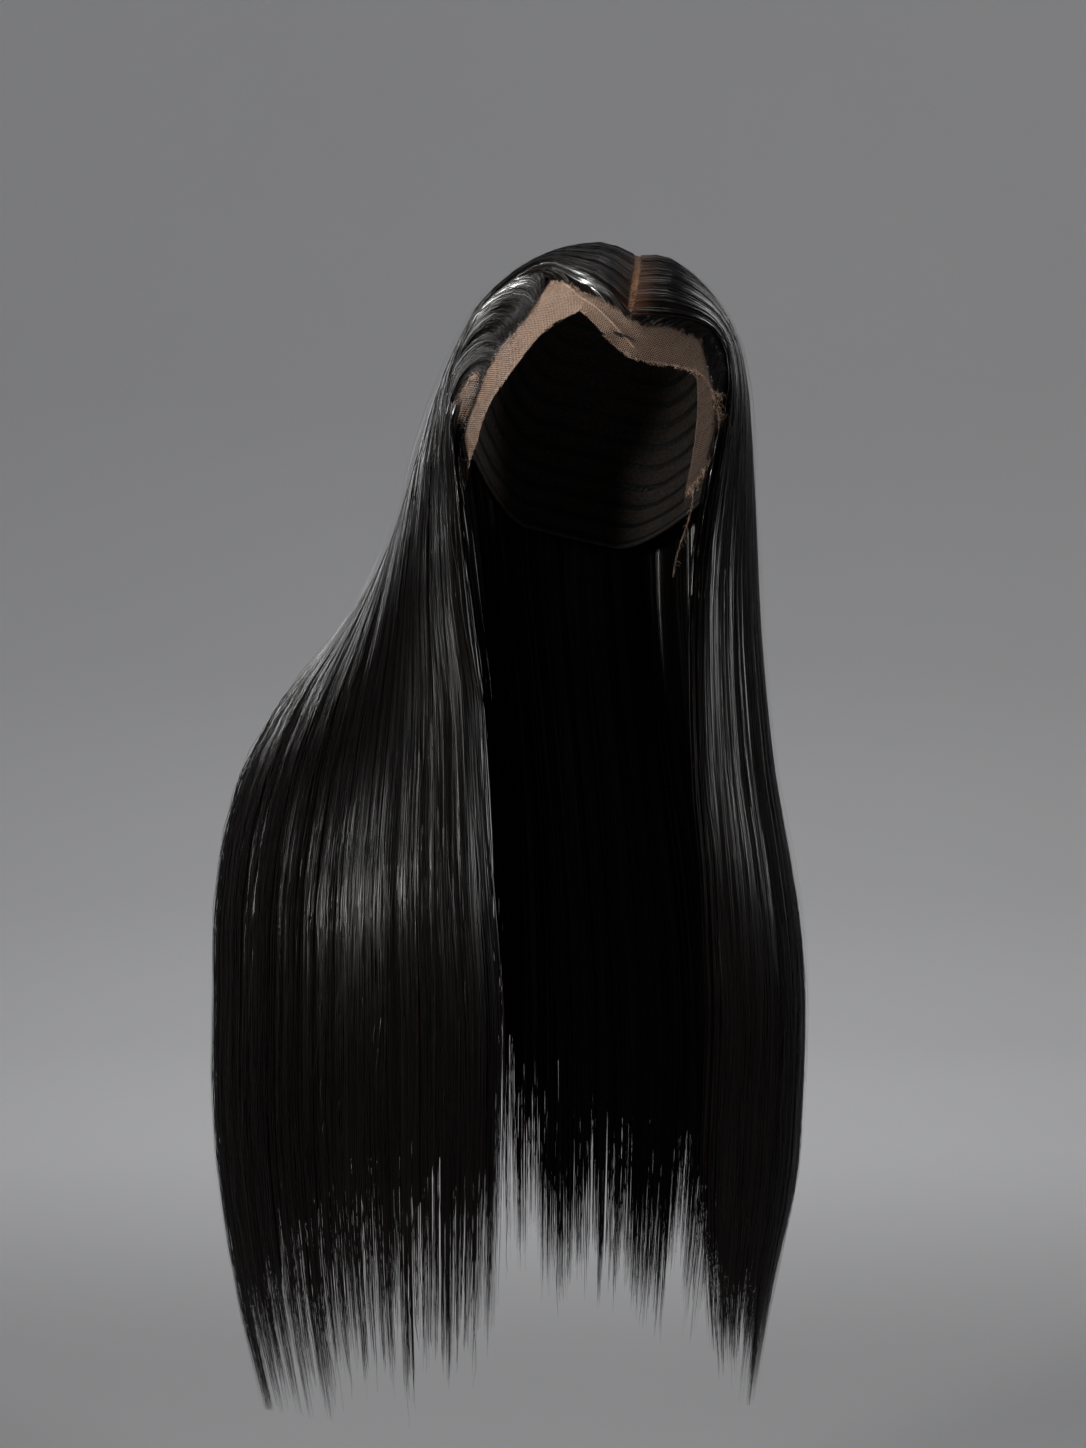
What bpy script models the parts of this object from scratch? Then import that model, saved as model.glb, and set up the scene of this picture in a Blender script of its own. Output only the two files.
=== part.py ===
"""Lace front wig in the form it has when worn: net cap, lace front and long straight hair.

Metres, +Z up. The origin is the middle of the head hollow. The face side looks along -Y and the
cap leans towards +X. Left and right are meant as seen from the front, so left is -X.
"""
import math

import bmesh
import bpy
from mathutils import Matrix, Vector

# Head form that the cap is made for
HEAD_HALF_WIDTH = 0.0785
HEAD_HALF_DEPTH = 0.0990
HEAD_HEIGHT = 0.1000
HEAD_TILT = math.radians(13.0)

# Net, lace and the gap that pieces keep
NET_WALL = 0.0012
SEAT_GAP = 0.0003
LACE_LIFT = 0.0035
CREASE_HEIGHT = 0.0026
CREASE_WIDTH = 0.0050

# Hair
CROWN_HAIR = 0.0052
HAIRLINE_HAIR = 0.0012
TEMPLE_HAIR = 0.0024
HAIR_DROP = 0.560
LEFT_SPREAD = 0.131
RIGHT_SPREAD = 0.030
FALL_DEPTH = 0.0090
TIP_DEPTH = 0.0040
LOCK_RELIEF = 0.0022
TIP_NOTCH = 0.050
FACET_ROOM = 0.0004
PART_WIDTH = 0.0036
PART_SHIFT = 0.0040
PART_FRONT = math.radians(35.5)
PART_BACK = math.radians(108.0)
WHORL_RADIUS = math.radians(3.0)

# Worked out from the sizes above
HAIR_BASE = NET_WALL + SEAT_GAP + FACET_ROOM
CROWN_RISE = HAIR_BASE + CROWN_HAIR
HAIR_HALF_WIDTH = HEAD_HALF_WIDTH + CROWN_RISE + 0.0008
HAIR_HALF_DEPTH = HEAD_HALF_DEPTH + CROWN_RISE + 0.0003
FALL_BASE = HAIR_BASE + 2.0 * FACET_ROOM
HEAD_AXES = Vector((HEAD_HALF_WIDTH, HEAD_HALF_DEPTH, HEAD_HEIGHT))
TILT = Matrix.Rotation(HEAD_TILT, 3, "Y")

# How finely each piece is divided
LOCK_COLUMNS = 4
CROWN_ROWS = 12
FALL_ROWS = 16
BACK_CAP_COLUMNS = 18
CAP_ROWS = 8
LACE_ROWS = 6
SCALP_ROWS = 4
TEMPLE_ROWS = 3
FALL_ROW_GROWTH = 1.6

# Free edge of the lace from ear to ear: azimuth from the face, elevation, share of the lift
LACE_EDGE_COLUMNS = ("azimuth", "elevation", "lift")
LACE_EDGE = (
    (-90.0, -10.0, 0.0),
    (-84.0, -19.0, 0.0),
    (-78.0, -29.0, 0.0),
    (-72.0, -31.0, 0.0),
    (-66.1, -27.6, 0.0),
    (-62.1, -22.2, 0.1),
    (-55.8, -15.9, 0.1),
    (-52.9, -8.1, 0.1),
    (-49.1, -1.8, 0.1),
    (-43.7, 5.0, 0.1),
    (-39.2, 12.4, 0.1),
    (-35.0, 20.5, 0.1),
    (-29.3, 27.1, 0.2),
    (-24.0, 29.6, 0.4),
    (-19.6, 31.6, 0.8),
    (-14.8, 29.6, 1.0),
    (-10.0, 27.2, 1.0),
    (-3.6, 24.4, 1.0),
    (0.7, 21.4, 0.8),
    (6.9, 19.1, 0.6),
    (12.1, 19.4, 0.4),
    (20.0, 20.2, 0.2),
    (28.4, 20.9, 0.1),
    (36.0, 21.0, 0.3),
    (40.0, 18.5, 0.5),
    (42.0, 9.0, 0.4),
    (44.5, -5.0, 0.3),
    (47.0, -14.5, 0.2),
    (52.0, -21.5, 0.1),
    (58.0, -27.0, 0.0),
    (66.0, -31.0, 0.0),
    (74.0, -30.0, 0.0),
    (82.0, -21.0, 0.0),
    (90.0, -10.0, 0.0),
)

# Hairline on the lace from the upper corner of each temple down to the ear tab
HAIRLINE_COLUMNS = ("azimuth", "elevation")
LEFT_HAIRLINE = (
    (-51.0, 42.0),
    (-47.5, 33.0),
    (-47.0, 27.0),
    (-50.0, 21.5),
    (-54.5, 15.5),
    (-57.5, 8.0),
    (-60.5, -1.5),
    (-66.0, -10.0),
    (-74.0, -21.0),
)
RIGHT_HAIRLINE = (
    (45.5, 31.5),
    (46.5, 27.0),
    (49.0, 21.5),
    (53.0, 15.0),
    (54.7, 6.8),
    (56.8, -1.0),
    (58.5, -9.0),
    (62.0, -17.0),
)

# Front edge of the top hair between the part and the side of the head
LEFT_SWEEP = (
    (-14.0, 41.0),
    (-32.0, 44.5),
    (-50.0, 48.0),
    (-63.0, 46.0),
    (-71.0, 37.0),
    (-75.5, 26.0),
    (-77.8, 13.0),
)
RIGHT_SWEEP = (
    (15.0, 36.0),
    (25.0, 37.5),
    (36.0, 38.5),
    (45.0, 38.5),
    (52.5, 36.5),
    (58.0, 31.5),
    (60.0, 24.5),
)

# Crease in the lace, from the notch of its free edge to the corner of the hairline
CREASE_START = (-19.6, 32.5)
CREASE_END = (-46.0, 42.5)

# Sections of each fall. drop is a share of HAIR_DROP. x is a share of HAIR_HALF_WIDTH and y of
# HAIR_HALF_DEPTH, at the front edge, the middle and the back edge. spread is a share of the fall's
# own reach outwards, whole at the back edge.
FALL_COLUMNS = ("drop", "front_x", "front_y", "middle_x", "middle_y", "back_x", "back_y", "spread")
LEFT_FALL = (
    (-0.040, 1.010, -0.21, 1.060, 0.05, 0.980, 0.42, 0.00),
    (0.020, 0.980, -0.40, 1.130, -0.08, 0.980, 0.40, 0.08),
    (0.085, 0.940, -0.55, 1.157, -0.21, 0.980, 0.32, 0.17),
    (0.147, 0.907, -0.64, 1.150, -0.32, 0.980, 0.23, 0.32),
    (0.210, 0.870, -0.71, 1.120, -0.43, 0.980, 0.11, 0.49),
    (0.268, 0.800, -0.755, 1.070, -0.55, 0.980, 0.00, 0.70),
    (0.354, 0.767, -0.82, 1.035, -0.72, 0.980, -0.13, 0.90),
    (0.468, 0.720, -0.87, 1.050, -0.87, 0.980, -0.245, 1.00),
    (0.590, 0.660, -0.87, 1.050, -0.905, 0.980, -0.30, 1.01),
    (0.714, 0.660, -0.85, 1.050, -0.89, 0.980, -0.32, 1.01),
    (0.882, 0.686, -0.82, 1.055, -0.85, 0.980, -0.36, 0.91),
    (1.000, 0.720, -0.80, 1.055, -0.83, 0.980, -0.415, 0.79),
)
RIGHT_FALL = (
    (-0.027, 0.860, -0.49, 1.023, -0.075, 0.930, 0.396, 0.00),
    (0.054, 0.767, -0.585, 1.035, -0.17, 0.977, 0.38, 0.00),
    (0.136, 0.674, -0.62, 1.046, -0.226, 0.977, 0.37, 0.00),
    (0.220, 0.650, -0.62, 1.046, -0.264, 0.977, 0.36, 0.05),
    (0.364, 0.674, -0.62, 1.046, -0.30, 0.977, 0.35, 0.30),
    (0.436, 0.720, -0.62, 1.046, -0.32, 0.977, 0.35, 0.53),
    (0.509, 0.744, -0.60, 1.046, -0.34, 0.977, 0.35, 0.73),
    (0.590, 0.767, -0.585, 1.046, -0.34, 0.977, 0.35, 0.82),
    (0.695, 0.744, -0.547, 1.046, -0.32, 0.977, 0.35, 0.77),
    (0.779, 0.730, -0.51, 1.046, -0.30, 0.977, 0.35, 0.65),
    (0.882, 0.744, -0.47, 1.046, -0.264, 0.977, 0.35, 0.27),
    (1.000, 0.790, -0.43, 1.046, -0.245, 0.977, 0.35, -0.05),
)
BACK_FALL = (
    (-0.040, -0.963, 0.451, 0.070, 1.00, 0.919, 0.431, 0.00),
    (0.020, -0.940, 0.470, 0.047, 1.02, 0.953, 0.425, 0.00),
    (0.089, -0.884, 0.547, 0.047, 1.02, 0.977, 0.420, 0.00),
    (0.179, -0.814, 0.620, 0.070, 1.00, 0.977, 0.415, 0.00),
    (0.268, -0.744, 0.700, 0.116, 1.00, 0.977, 0.415, 0.10),
    (0.357, -0.700, 0.790, 0.163, 1.04, 0.977, 0.415, 0.30),
    (0.464, -0.663, 0.868, 0.210, 1.075, 0.977, 0.415, 0.62),
    (0.589, -0.650, 0.906, 0.256, 1.094, 0.977, 0.415, 0.82),
    (0.714, -0.650, 0.915, 0.280, 1.094, 0.977, 0.415, 0.76),
    (0.839, -0.650, 0.915, 0.280, 1.075, 0.977, 0.415, 0.50),
    (1.000, -0.630, 0.900, 0.270, 1.06, 0.977, 0.415, 0.05),
)

# Where the locks end at the front edge, the middle and the back edge, as shares of HAIR_DROP
LEFT_TIPS = (0.930, 0.945, 1.000)
RIGHT_TIPS = (0.935, 0.985, 0.930)
BACK_TIPS = (0.890, 0.940, 0.925)

# Share of the fall's reach that its middle takes
LEFT_MIDDLE_SPREAD = 0.38
RIGHT_MIDDLE_SPREAD = 1.0
BACK_MIDDLE_SPREAD = 0.25


def clamp(value, low=0.0, high=1.0):
    return max(low, min(high, value))


def smooth(value):
    value = clamp(value)
    return value * value * (3.0 - 2.0 * value)


def mix(first, second, share):
    return first + (second - first) * share


def direction(azimuth, elevation):
    """Unit direction in the head's own frame, azimuth from the face towards +X, in degrees."""
    azimuth = math.radians(azimuth)
    elevation = math.radians(elevation)
    return Vector((
        math.cos(elevation) * math.sin(azimuth),
        -math.cos(elevation) * math.cos(azimuth),
        math.sin(elevation),
    ))


def on_head(way, rise):
    """Point that lies at a rise above the head form in the given direction."""
    skin = Vector((way.x * HEAD_AXES.x, way.y * HEAD_AXES.y, way.z * HEAD_AXES.z))
    return TILT @ (skin * (1.0 + rise / skin.length))


def above_head(point):
    """Direction from the head's middle to a point, and its rise above the head form."""
    local = TILT.inverted() @ point
    scaled = Vector((local.x / HEAD_AXES.x, local.y / HEAD_AXES.y, local.z / HEAD_AXES.z))
    way = scaled.normalized()
    skin = Vector((way.x * HEAD_AXES.x, way.y * HEAD_AXES.y, way.z * HEAD_AXES.z))
    return way, local.length - skin.length


def clear_of_head(point, rise):
    """The point, or where it would lie deeper than rise, the point raised to it."""
    way, found = above_head(point)
    if found < rise:
        return on_head(way, rise)
    return point


def along(points, share):
    """Point at a share of a smooth curve through the points, spaced by their distances."""
    steps = [0.0]
    for first, second in zip(points, points[1:]):
        steps.append(steps[-1] + (second - first).length)
    place = clamp(share) * steps[-1]
    index = 0
    while index < len(points) - 2 and place > steps[index + 1]:
        index += 1
    before = points[max(index - 1, 0)]
    start = points[index]
    end = points[index + 1]
    after = points[min(index + 2, len(points) - 1)]
    span = steps[index + 1] - steps[index]
    lead = steps[index] - steps[max(index - 1, 0)] + span
    tail = steps[min(index + 2, len(points) - 1)] - steps[index]
    share = (place - steps[index]) / span
    start_slope = (end - before) * (span / lead)
    end_slope = (after - start) * (span / tail)
    square = share * share
    cube = square * share
    return (
        start * (2.0 * cube - 3.0 * square + 1.0)
        + start_slope * (cube - 2.0 * square + share)
        + end * (3.0 * square - 2.0 * cube)
        + end_slope * (cube - square)
    )


def read_row(rows, columns, drop):
    """One row of a table at any drop, smoothly between the rows that are written."""
    index = 0
    while index < len(rows) - 2 and drop > rows[index + 1][0]:
        index += 1
    before = rows[max(index - 1, 0)]
    start = rows[index]
    end = rows[index + 1]
    after = rows[min(index + 2, len(rows) - 1)]
    span = end[0] - start[0]
    share = clamp((drop - start[0]) / span)
    square = share * share
    cube = square * share
    values = {}
    for column, name in enumerate(columns):
        start_slope = (end[column] - before[column]) * span / (end[0] - before[0])
        end_slope = (after[column] - start[column]) * span / (after[0] - start[0])
        values[name] = (
            start[column] * (2.0 * cube - 3.0 * square + 1.0)
            + start_slope * (cube - 2.0 * square + share)
            + end[column] * (3.0 * square - 2.0 * cube)
            + end_slope * (cube - square)
        )
    return values


def through_three(first, middle, last, share):
    """Value of the parabola that passes the three at shares 0, a half and 1."""
    return (
        first * (1.0 - share) * (1.0 - 2.0 * share)
        + middle * 4.0 * share * (1.0 - share)
        + last * share * (2.0 * share - 1.0)
    )


def part_direction(angle, side):
    """Direction of a root beside the part, at an angle up from the face."""
    shift = PART_SHIFT * clamp(math.cos(angle) / math.cos(PART_FRONT))
    across = shift + side * PART_WIDTH / 2.0
    return Vector((across / HEAD_AXES.x, -math.cos(angle), math.sin(angle))).normalized()


class HairSheet:
    """One sheet of hair: its roots, its way over the head and its free fall.

    share runs from the front edge, or the left edge of the back hair, to the other edge.
    """

    def __init__(self, side, rows, reach, middle_spread, tips, locks, sweep=()):
        self.side = side
        self.rows = rows
        self.reach = reach
        self.middle_spread = middle_spread
        self.tips = tips
        self.locks = locks
        self.sweep = sweep
        self.start = rows[0][0]

    def free_point(self, share, drop):
        """Outer face of the free hair at a drop below the head's middle."""
        row = read_row(self.rows, FALL_COLUMNS, drop)
        spread = row["spread"] * self.reach
        middle_x = row["middle_x"] * HAIR_HALF_WIDTH + spread * self.middle_spread
        back_x = row["back_x"] * HAIR_HALF_WIDTH + spread
        x = through_three(row["front_x"] * HAIR_HALF_WIDTH, middle_x, back_x, share)
        y = through_three(row["front_y"], row["middle_y"], row["back_y"], share) * HAIR_HALF_DEPTH
        return clear_of_head(Vector((x * self.side, y, -drop * HAIR_DROP)), CROWN_RISE)

    def root(self, share):
        if self.sweep:
            return part_direction(mix(PART_FRONT, PART_BACK, share), self.side)
        turn = math.radians(mix(-120.0, 120.0, share))
        centre = PART_BACK + WHORL_RADIUS * 1.6
        tip = centre + WHORL_RADIUS * math.cos(turn)
        across = math.sin(turn) * math.sin(WHORL_RADIUS)
        return Vector((across, -math.cos(tip), math.sin(tip))).normalized()

    def edge_way(self, travel, last):
        """Direction along the front edge, or the back edge, at a share of the way down."""
        share = 1.0 if last else 0.0
        end = above_head(self.free_point(share, self.start))[0]
        if self.sweep and not last:
            middle = [direction(azimuth, elevation) for azimuth, elevation in self.sweep]
            return along([self.root(0.0)] + middle + [end], travel).normalized()
        return self.root(share).slerp(end, travel)

    def crown_way(self, share, travel):
        """Direction of the hair on the head, blended from the four borders of the sheet."""
        front = self.edge_way(travel, False)
        back = self.edge_way(travel, True)
        root = self.root(share) - mix(self.root(0.0), self.root(1.0), share)
        end = above_head(self.free_point(share, self.start))[0]
        first_end = above_head(self.free_point(0.0, self.start))[0]
        last_end = above_head(self.free_point(1.0, self.start))[0]
        end = end - mix(first_end, last_end, share)
        way = mix(front, back, share) + root * (1.0 - travel) + end * travel
        return way.normalized()

    def crown_rise(self, share, travel):
        """How high the hair stands on the head, low at the roots and at the hairline."""
        leaving = above_head(self.free_point(share, self.start))[1]
        full = mix(CROWN_RISE, leaving, smooth(travel))
        rise = mix(HAIR_BASE + HAIRLINE_HAIR, full, smooth(travel / 0.16))
        if self.sweep:
            edge = smooth(0.35 + share / 0.12) * (1.0 - smooth(travel)) + smooth(travel)
            rise = mix(HAIR_BASE + HAIRLINE_HAIR, rise, edge)
        return rise

    def crown_point(self, share, travel):
        return on_head(self.crown_way(share, travel), self.crown_rise(share, travel))

    def lock_phase(self, share):
        """0 in the groove between two locks, 1 on the middle of a lock."""
        place = (share * self.locks) % 1.0
        return 1.0 - abs(2.0 * place - 1.0)

    def tip(self, share):
        longest = through_three(self.tips[0], self.tips[1], self.tips[2], share)
        return longest - (1.0 - self.lock_phase(share)) * TIP_NOTCH / HAIR_DROP

    def drop_at(self, share, travel):
        """Drop at a share of the free hair, with its rows closer together beside the head."""
        start = self.start + SEAT_GAP / HAIR_DROP
        return mix(start, self.tip(share), travel ** FALL_ROW_GROWTH)

    def outward(self, share, travel):
        """Direction through the free hair: away from the head's middle, then square to the sheet."""
        drop = self.drop_at(share, travel)
        away = self.free_point(share, drop).normalized()
        return mix(away, self.facing(share, drop), smooth(travel / 0.25)).normalized()

    def facing(self, share, drop):
        """Direction that the outer face of the free hair looks in."""
        step = 0.01
        low = max(share - step, 0.0)
        high = min(share + step, 1.0)
        across = self.free_point(high, drop) - self.free_point(low, drop)
        down = self.free_point(share, drop + step) - self.free_point(share, drop - step)
        facing = across.cross(down).normalized()
        centre = Vector((0.0, 0.0, -drop * HAIR_DROP))
        if facing.dot(self.free_point(share, drop) - centre) < 0.0:
            facing = -facing
        return facing


LEFT_SHEET = HairSheet(-1.0, LEFT_FALL, LEFT_SPREAD, LEFT_MIDDLE_SPREAD, LEFT_TIPS, 7, LEFT_SWEEP)
RIGHT_SHEET = HairSheet(1.0, RIGHT_FALL, RIGHT_SPREAD, RIGHT_MIDDLE_SPREAD, RIGHT_TIPS, 5, RIGHT_SWEEP)
BACK_SHEET = HairSheet(1.0, BACK_FALL, RIGHT_SPREAD, BACK_MIDDLE_SPREAD, BACK_TIPS, 7)


def material(name, colour, roughness):
    finish = bpy.data.materials.new(name)
    finish.use_nodes = True
    shader = finish.node_tree.nodes["Principled BSDF"]
    shader.inputs["Base Color"].default_value = (*colour, 1.0)
    shader.inputs["Roughness"].default_value = roughness
    shader.inputs["Metallic"].default_value = 0.0
    return finish


def surface_grid(mesh, columns, rows, place):
    """A grid whose points are placed by shares across and down. Gives its points by both."""
    grid = bmesh.ops.create_grid(mesh, x_segments=columns, y_segments=rows, size=1.0)
    points = {}
    for vertex in grid["verts"]:
        column = round((vertex.co.x + 1.0) / 2.0 * columns)
        row = round((vertex.co.y + 1.0) / 2.0 * rows)
        points[column, row] = vertex
    for (column, row), vertex in points.items():
        vertex.co = place(column / columns, row / rows)
    return points


def border(columns, rows):
    """Column and row of each point around a grid, in order."""
    around = [(column, 0) for column in range(columns)]
    around += [(columns, row) for row in range(rows)]
    around += [(column, rows) for column in range(columns, 0, -1)]
    around += [(0, row) for row in range(rows, 0, -1)]
    return around


def closed_piece(name, finish, collection, columns, rows, outer, inner):
    """A closed body between an outer and an inner surface over the same grid."""
    mesh = bmesh.new()
    outside = surface_grid(mesh, columns, rows, outer)
    inside = surface_grid(mesh, columns, rows, inner)
    around = border(columns, rows)
    for first, second in zip(around, around[1:] + around[:1]):
        mesh.faces.new((outside[first], outside[second], inside[second], inside[first]))
    bmesh.ops.remove_doubles(mesh, verts=mesh.verts[:], dist=0.00001)
    bmesh.ops.recalc_face_normals(mesh, faces=mesh.faces[:])
    if mesh.calc_volume(signed=True) < 0.0:
        bmesh.ops.reverse_faces(mesh, faces=mesh.faces[:])
    data = bpy.data.meshes.new(name)
    mesh.to_mesh(data)
    mesh.free()
    data.shade_smooth()
    piece = bpy.data.objects.new(name, data)
    piece.data.materials.append(finish)
    collection.objects.link(piece)
    return piece


def back_edge_elevation(azimuth):
    """Lower edge of the cap behind the ears: over the ear, then down to the nape."""
    behind = smooth((abs(azimuth) - 100.0) / 55.0)
    return mix(-10.0, -37.0, behind)


def make_cap(finish, collection):
    """Stretch net over the back of the head, from the crown to the nape."""
    def place(across, up, rise):
        azimuth = mix(90.0, 270.0, across)
        lowest = back_edge_elevation(min(azimuth, 360.0 - azimuth))
        way = direction(azimuth, mix(lowest, 90.0, up))
        return on_head(way, rise) + Vector((0.0, SEAT_GAP / 2.0, 0.0))

    closed_piece(
        "cap", finish, collection, BACK_CAP_COLUMNS, CAP_ROWS,
        lambda across, up: place(across, up, NET_WALL),
        lambda across, up: place(across, up, 0.0),
    )


def crease_rise(way):
    """Height of the crease in the lace at a direction, none away from its line."""
    start = direction(*CREASE_START)
    end = direction(*CREASE_END)
    line = end - start
    share = (way - start).dot(line) / line.length_squared
    aside = (way - start - line * clamp(share)).length * HEAD_HEIGHT
    fade = smooth(clamp(1.25 - share) / 0.5)
    return CREASE_HEIGHT * fade * math.exp(-((aside / CREASE_WIDTH) ** 2.0))


def hairline_elevation(azimuth):
    """Elevation from which the lace lies under hair, at an azimuth."""
    middle = mix(40.0, 34.0, smooth((azimuth + 40.0) / 60.0))
    temples = mix(middle, 10.0, smooth((abs(azimuth) - 46.0) / 20.0))
    return temples


def make_lace(finish, collection):
    """Lace from the crown to its free edge, with the ear tabs, the lifted edge and the crease."""
    rows = LACE_ROWS + SCALP_ROWS
    last = len(LACE_EDGE) - 1

    def place(across, up, rise):
        edge = dict(zip(LACE_EDGE_COLUMNS, LACE_EDGE[round(across * last)]))
        hairline = max(hairline_elevation(edge["azimuth"]), edge["elevation"] + 6.0)
        row = round(up * rows)
        if row <= LACE_ROWS:
            free = row / LACE_ROWS
            elevation = mix(edge["elevation"], hairline, free)
        else:
            free = 1.0
            elevation = mix(hairline, 90.0, (row - LACE_ROWS) / SCALP_ROWS)
        way = direction(edge["azimuth"], elevation)
        lift = edge["lift"] * LACE_LIFT * (1.0 - smooth(free * 1.6))
        if row < LACE_ROWS:
            lift += crease_rise(way)
        return on_head(way, rise + lift) - Vector((0.0, SEAT_GAP / 2.0, 0.0))

    closed_piece(
        "lace_front", finish, collection, last, rows,
        lambda across, up: place(across, up, NET_WALL),
        lambda across, up: place(across, up, 0.0),
    )


def make_top_hair(name, sheet, finish, collection):
    """Hair that lies on the head, from its roots to where it hangs free."""
    columns = sheet.locks * LOCK_COLUMNS

    def outer(share, travel):
        point = sheet.crown_point(share, travel)
        groove = 1.0 - sheet.lock_phase(share)
        way, rise = above_head(point)
        sunk = min(groove * LOCK_RELIEF / 2.0, (rise - HAIR_BASE) / 2.0)
        return on_head(way, rise - sunk * smooth(travel / 0.3))

    closed_piece(
        name, finish, collection, columns, CROWN_ROWS, outer,
        lambda share, travel: on_head(sheet.crown_way(share, travel), HAIR_BASE),
    )


def make_fall(name, sheet, finish, collection):
    """Free hair in locks that run to pointed tips."""
    columns = sheet.locks * LOCK_COLUMNS

    def outer(share, travel):
        drop = sheet.drop_at(share, travel)
        groove = (1.0 - sheet.lock_phase(share)) * LOCK_RELIEF
        sunk = groove * mix(0.5, 1.0, smooth(travel / 0.2))
        return sheet.free_point(share, drop) - sheet.outward(share, travel) * sunk

    def inner(share, travel):
        drop = sheet.drop_at(share, travel)
        edge = mix(0.45, 1.0, smooth(min(share, 1.0 - share) * 8.0))
        depth = mix(FALL_DEPTH, TIP_DEPTH, smooth(travel)) * edge
        point = sheet.free_point(share, drop) - sheet.outward(share, travel) * depth
        return clear_of_head(point, FALL_BASE)

    closed_piece(name, finish, collection, columns, FALL_ROWS, outer, inner)


def make_temple_hair(name, sheet, hairline, first_row, finish, collection):
    """Short hair swept from the temple hairline back to the front edge of the top hair."""
    hairline = [direction(azimuth, elevation) for azimuth, elevation in hairline]
    edge = []
    for row in range(first_row, CROWN_ROWS + 1):
        edge.append(sheet.crown_way(0.0, row / CROWN_ROWS))
    for row in (2, 3, 4):
        drop = sheet.drop_at(0.0, row / FALL_ROWS)
        edge.append(above_head(sheet.free_point(0.0, drop))[0])
    columns = len(edge) - 1

    def way_at(down, back):
        root = along(hairline, down)
        end = edge[round(down * columns)]
        inset = (root - end).normalized() * (SEAT_GAP * 3.0 / HEAD_HALF_WIDTH)
        return mix(root, end + inset, back).normalized()

    def outer(down, back):
        rise = mix(HAIR_BASE + HAIRLINE_HAIR * 0.5, HAIR_BASE + TEMPLE_HAIR, smooth(back * 1.5))
        return on_head(way_at(down, back), rise)

    closed_piece(
        name, finish, collection, columns, TEMPLE_ROWS, outer,
        lambda down, back: on_head(way_at(down, back), HAIR_BASE),
    )


def build_wig():
    for leftover in list(bpy.data.objects):
        bpy.data.objects.remove(leftover, do_unlink=True)
    collection = bpy.data.collections.new("lace_front_wig")
    bpy.context.scene.collection.children.link(collection)
    net = material("cap_net", (0.020, 0.016, 0.014), 0.85)
    lace = material("lace_net", (0.62, 0.42, 0.28), 0.75)
    hair = material("black_hair", (0.010, 0.008, 0.007), 0.32)
    make_cap(net, collection)
    make_lace(lace, collection)
    make_top_hair("top_hair_left", LEFT_SHEET, hair, collection)
    make_top_hair("top_hair_right", RIGHT_SHEET, hair, collection)
    make_top_hair("top_hair_back", BACK_SHEET, hair, collection)
    make_temple_hair("temple_hair_left", LEFT_SHEET, LEFT_HAIRLINE, 6, hair, collection)
    make_temple_hair("temple_hair_right", RIGHT_SHEET, RIGHT_HAIRLINE, 7, hair, collection)
    make_fall("side_fall_left", LEFT_SHEET, hair, collection)
    make_fall("side_fall_right", RIGHT_SHEET, hair, collection)
    make_fall("back_fall", BACK_SHEET, hair, collection)


build_wig()
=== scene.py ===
"""Looks of the lace front wig: single hairs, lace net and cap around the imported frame.

Metres, +Z up. Left and right are meant as seen from the front, so left is -X.
"""
import math

import bpy
import numpy as np
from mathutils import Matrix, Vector


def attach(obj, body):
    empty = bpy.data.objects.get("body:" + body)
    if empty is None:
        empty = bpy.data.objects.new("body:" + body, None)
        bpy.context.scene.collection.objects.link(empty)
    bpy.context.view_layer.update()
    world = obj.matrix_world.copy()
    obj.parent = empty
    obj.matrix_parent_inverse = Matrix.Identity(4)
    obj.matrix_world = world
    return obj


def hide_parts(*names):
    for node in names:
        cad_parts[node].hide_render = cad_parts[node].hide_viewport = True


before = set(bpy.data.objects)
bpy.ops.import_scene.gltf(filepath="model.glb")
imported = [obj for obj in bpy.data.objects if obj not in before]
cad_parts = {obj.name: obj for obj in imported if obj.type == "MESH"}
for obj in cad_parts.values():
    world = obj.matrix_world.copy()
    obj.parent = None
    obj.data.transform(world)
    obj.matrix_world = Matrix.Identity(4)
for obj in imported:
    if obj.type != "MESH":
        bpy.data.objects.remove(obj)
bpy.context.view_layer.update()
SEED = 467

# Form inside the cap, net and hair, as in the frame
HEAD_AXES = np.array((0.0785, 0.0990, 0.1000))
HEAD_TILT = math.radians(13.0)
NET_WALL = 0.0012
HAIR_BASE = 0.0019
CROWN_RISE = HAIR_BASE + 0.0052
HAIRLINE_HAIR = 0.0012
TEMPLE_HAIR = 0.0024
HAIR_HALF_WIDTH = HEAD_AXES[0] + CROWN_RISE + 0.0008
HAIR_HALF_DEPTH = HEAD_AXES[1] + CROWN_RISE + 0.0003
HAIR_DROP = 0.560
LEFT_SPREAD = 0.131
RIGHT_SPREAD = 0.030
PART_WIDTH = 0.0036
PART_SHIFT = 0.0040
ROOT_ROOM = 0.0008
PART_FRONT = math.radians(35.5)
PART_BACK = math.radians(108.0)
WHORL_RADIUS = math.radians(3.0)
LACE_LIFT = 0.0035
CREASE_HEIGHT = 0.0024
CREASE_WIDTH = 0.0042

# Lace net and threads
NET_CELL = 0.00136
NET_THREAD = 0.00015
FRAY_THREAD = 0.00011

# Rows of weft sewn inside the cap
WEFT_SPACING = 0.013

# Single hairs. A drawn hair stands for a few real ones, so it is wider than one.
HAIR_WIDTH = 0.00040
FINE_HAIR_WIDTH = 0.00018

# How many single hairs each piece has, and into how many locks a sheet of hair gathers
FALL_HAIRS = {"left": 3500, "right": 2750, "back": 3200}
TEMPLE_HAIRS = {"left": 1500, "right": 1000}
FRINGE_HAIRS = {"left": 1000, "right": 800}
TIP_HAIRS = 2600
STRAY_HAIRS = 90
BABY_HAIRS = 700
# Dark hairs in the slit beside the crease, which also stand for painted shade under the crease's lip
SLIT_SHADE_HAIRS = 16
WIDE_LOCKS = 26
NARROW_LOCKS = 150

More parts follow.
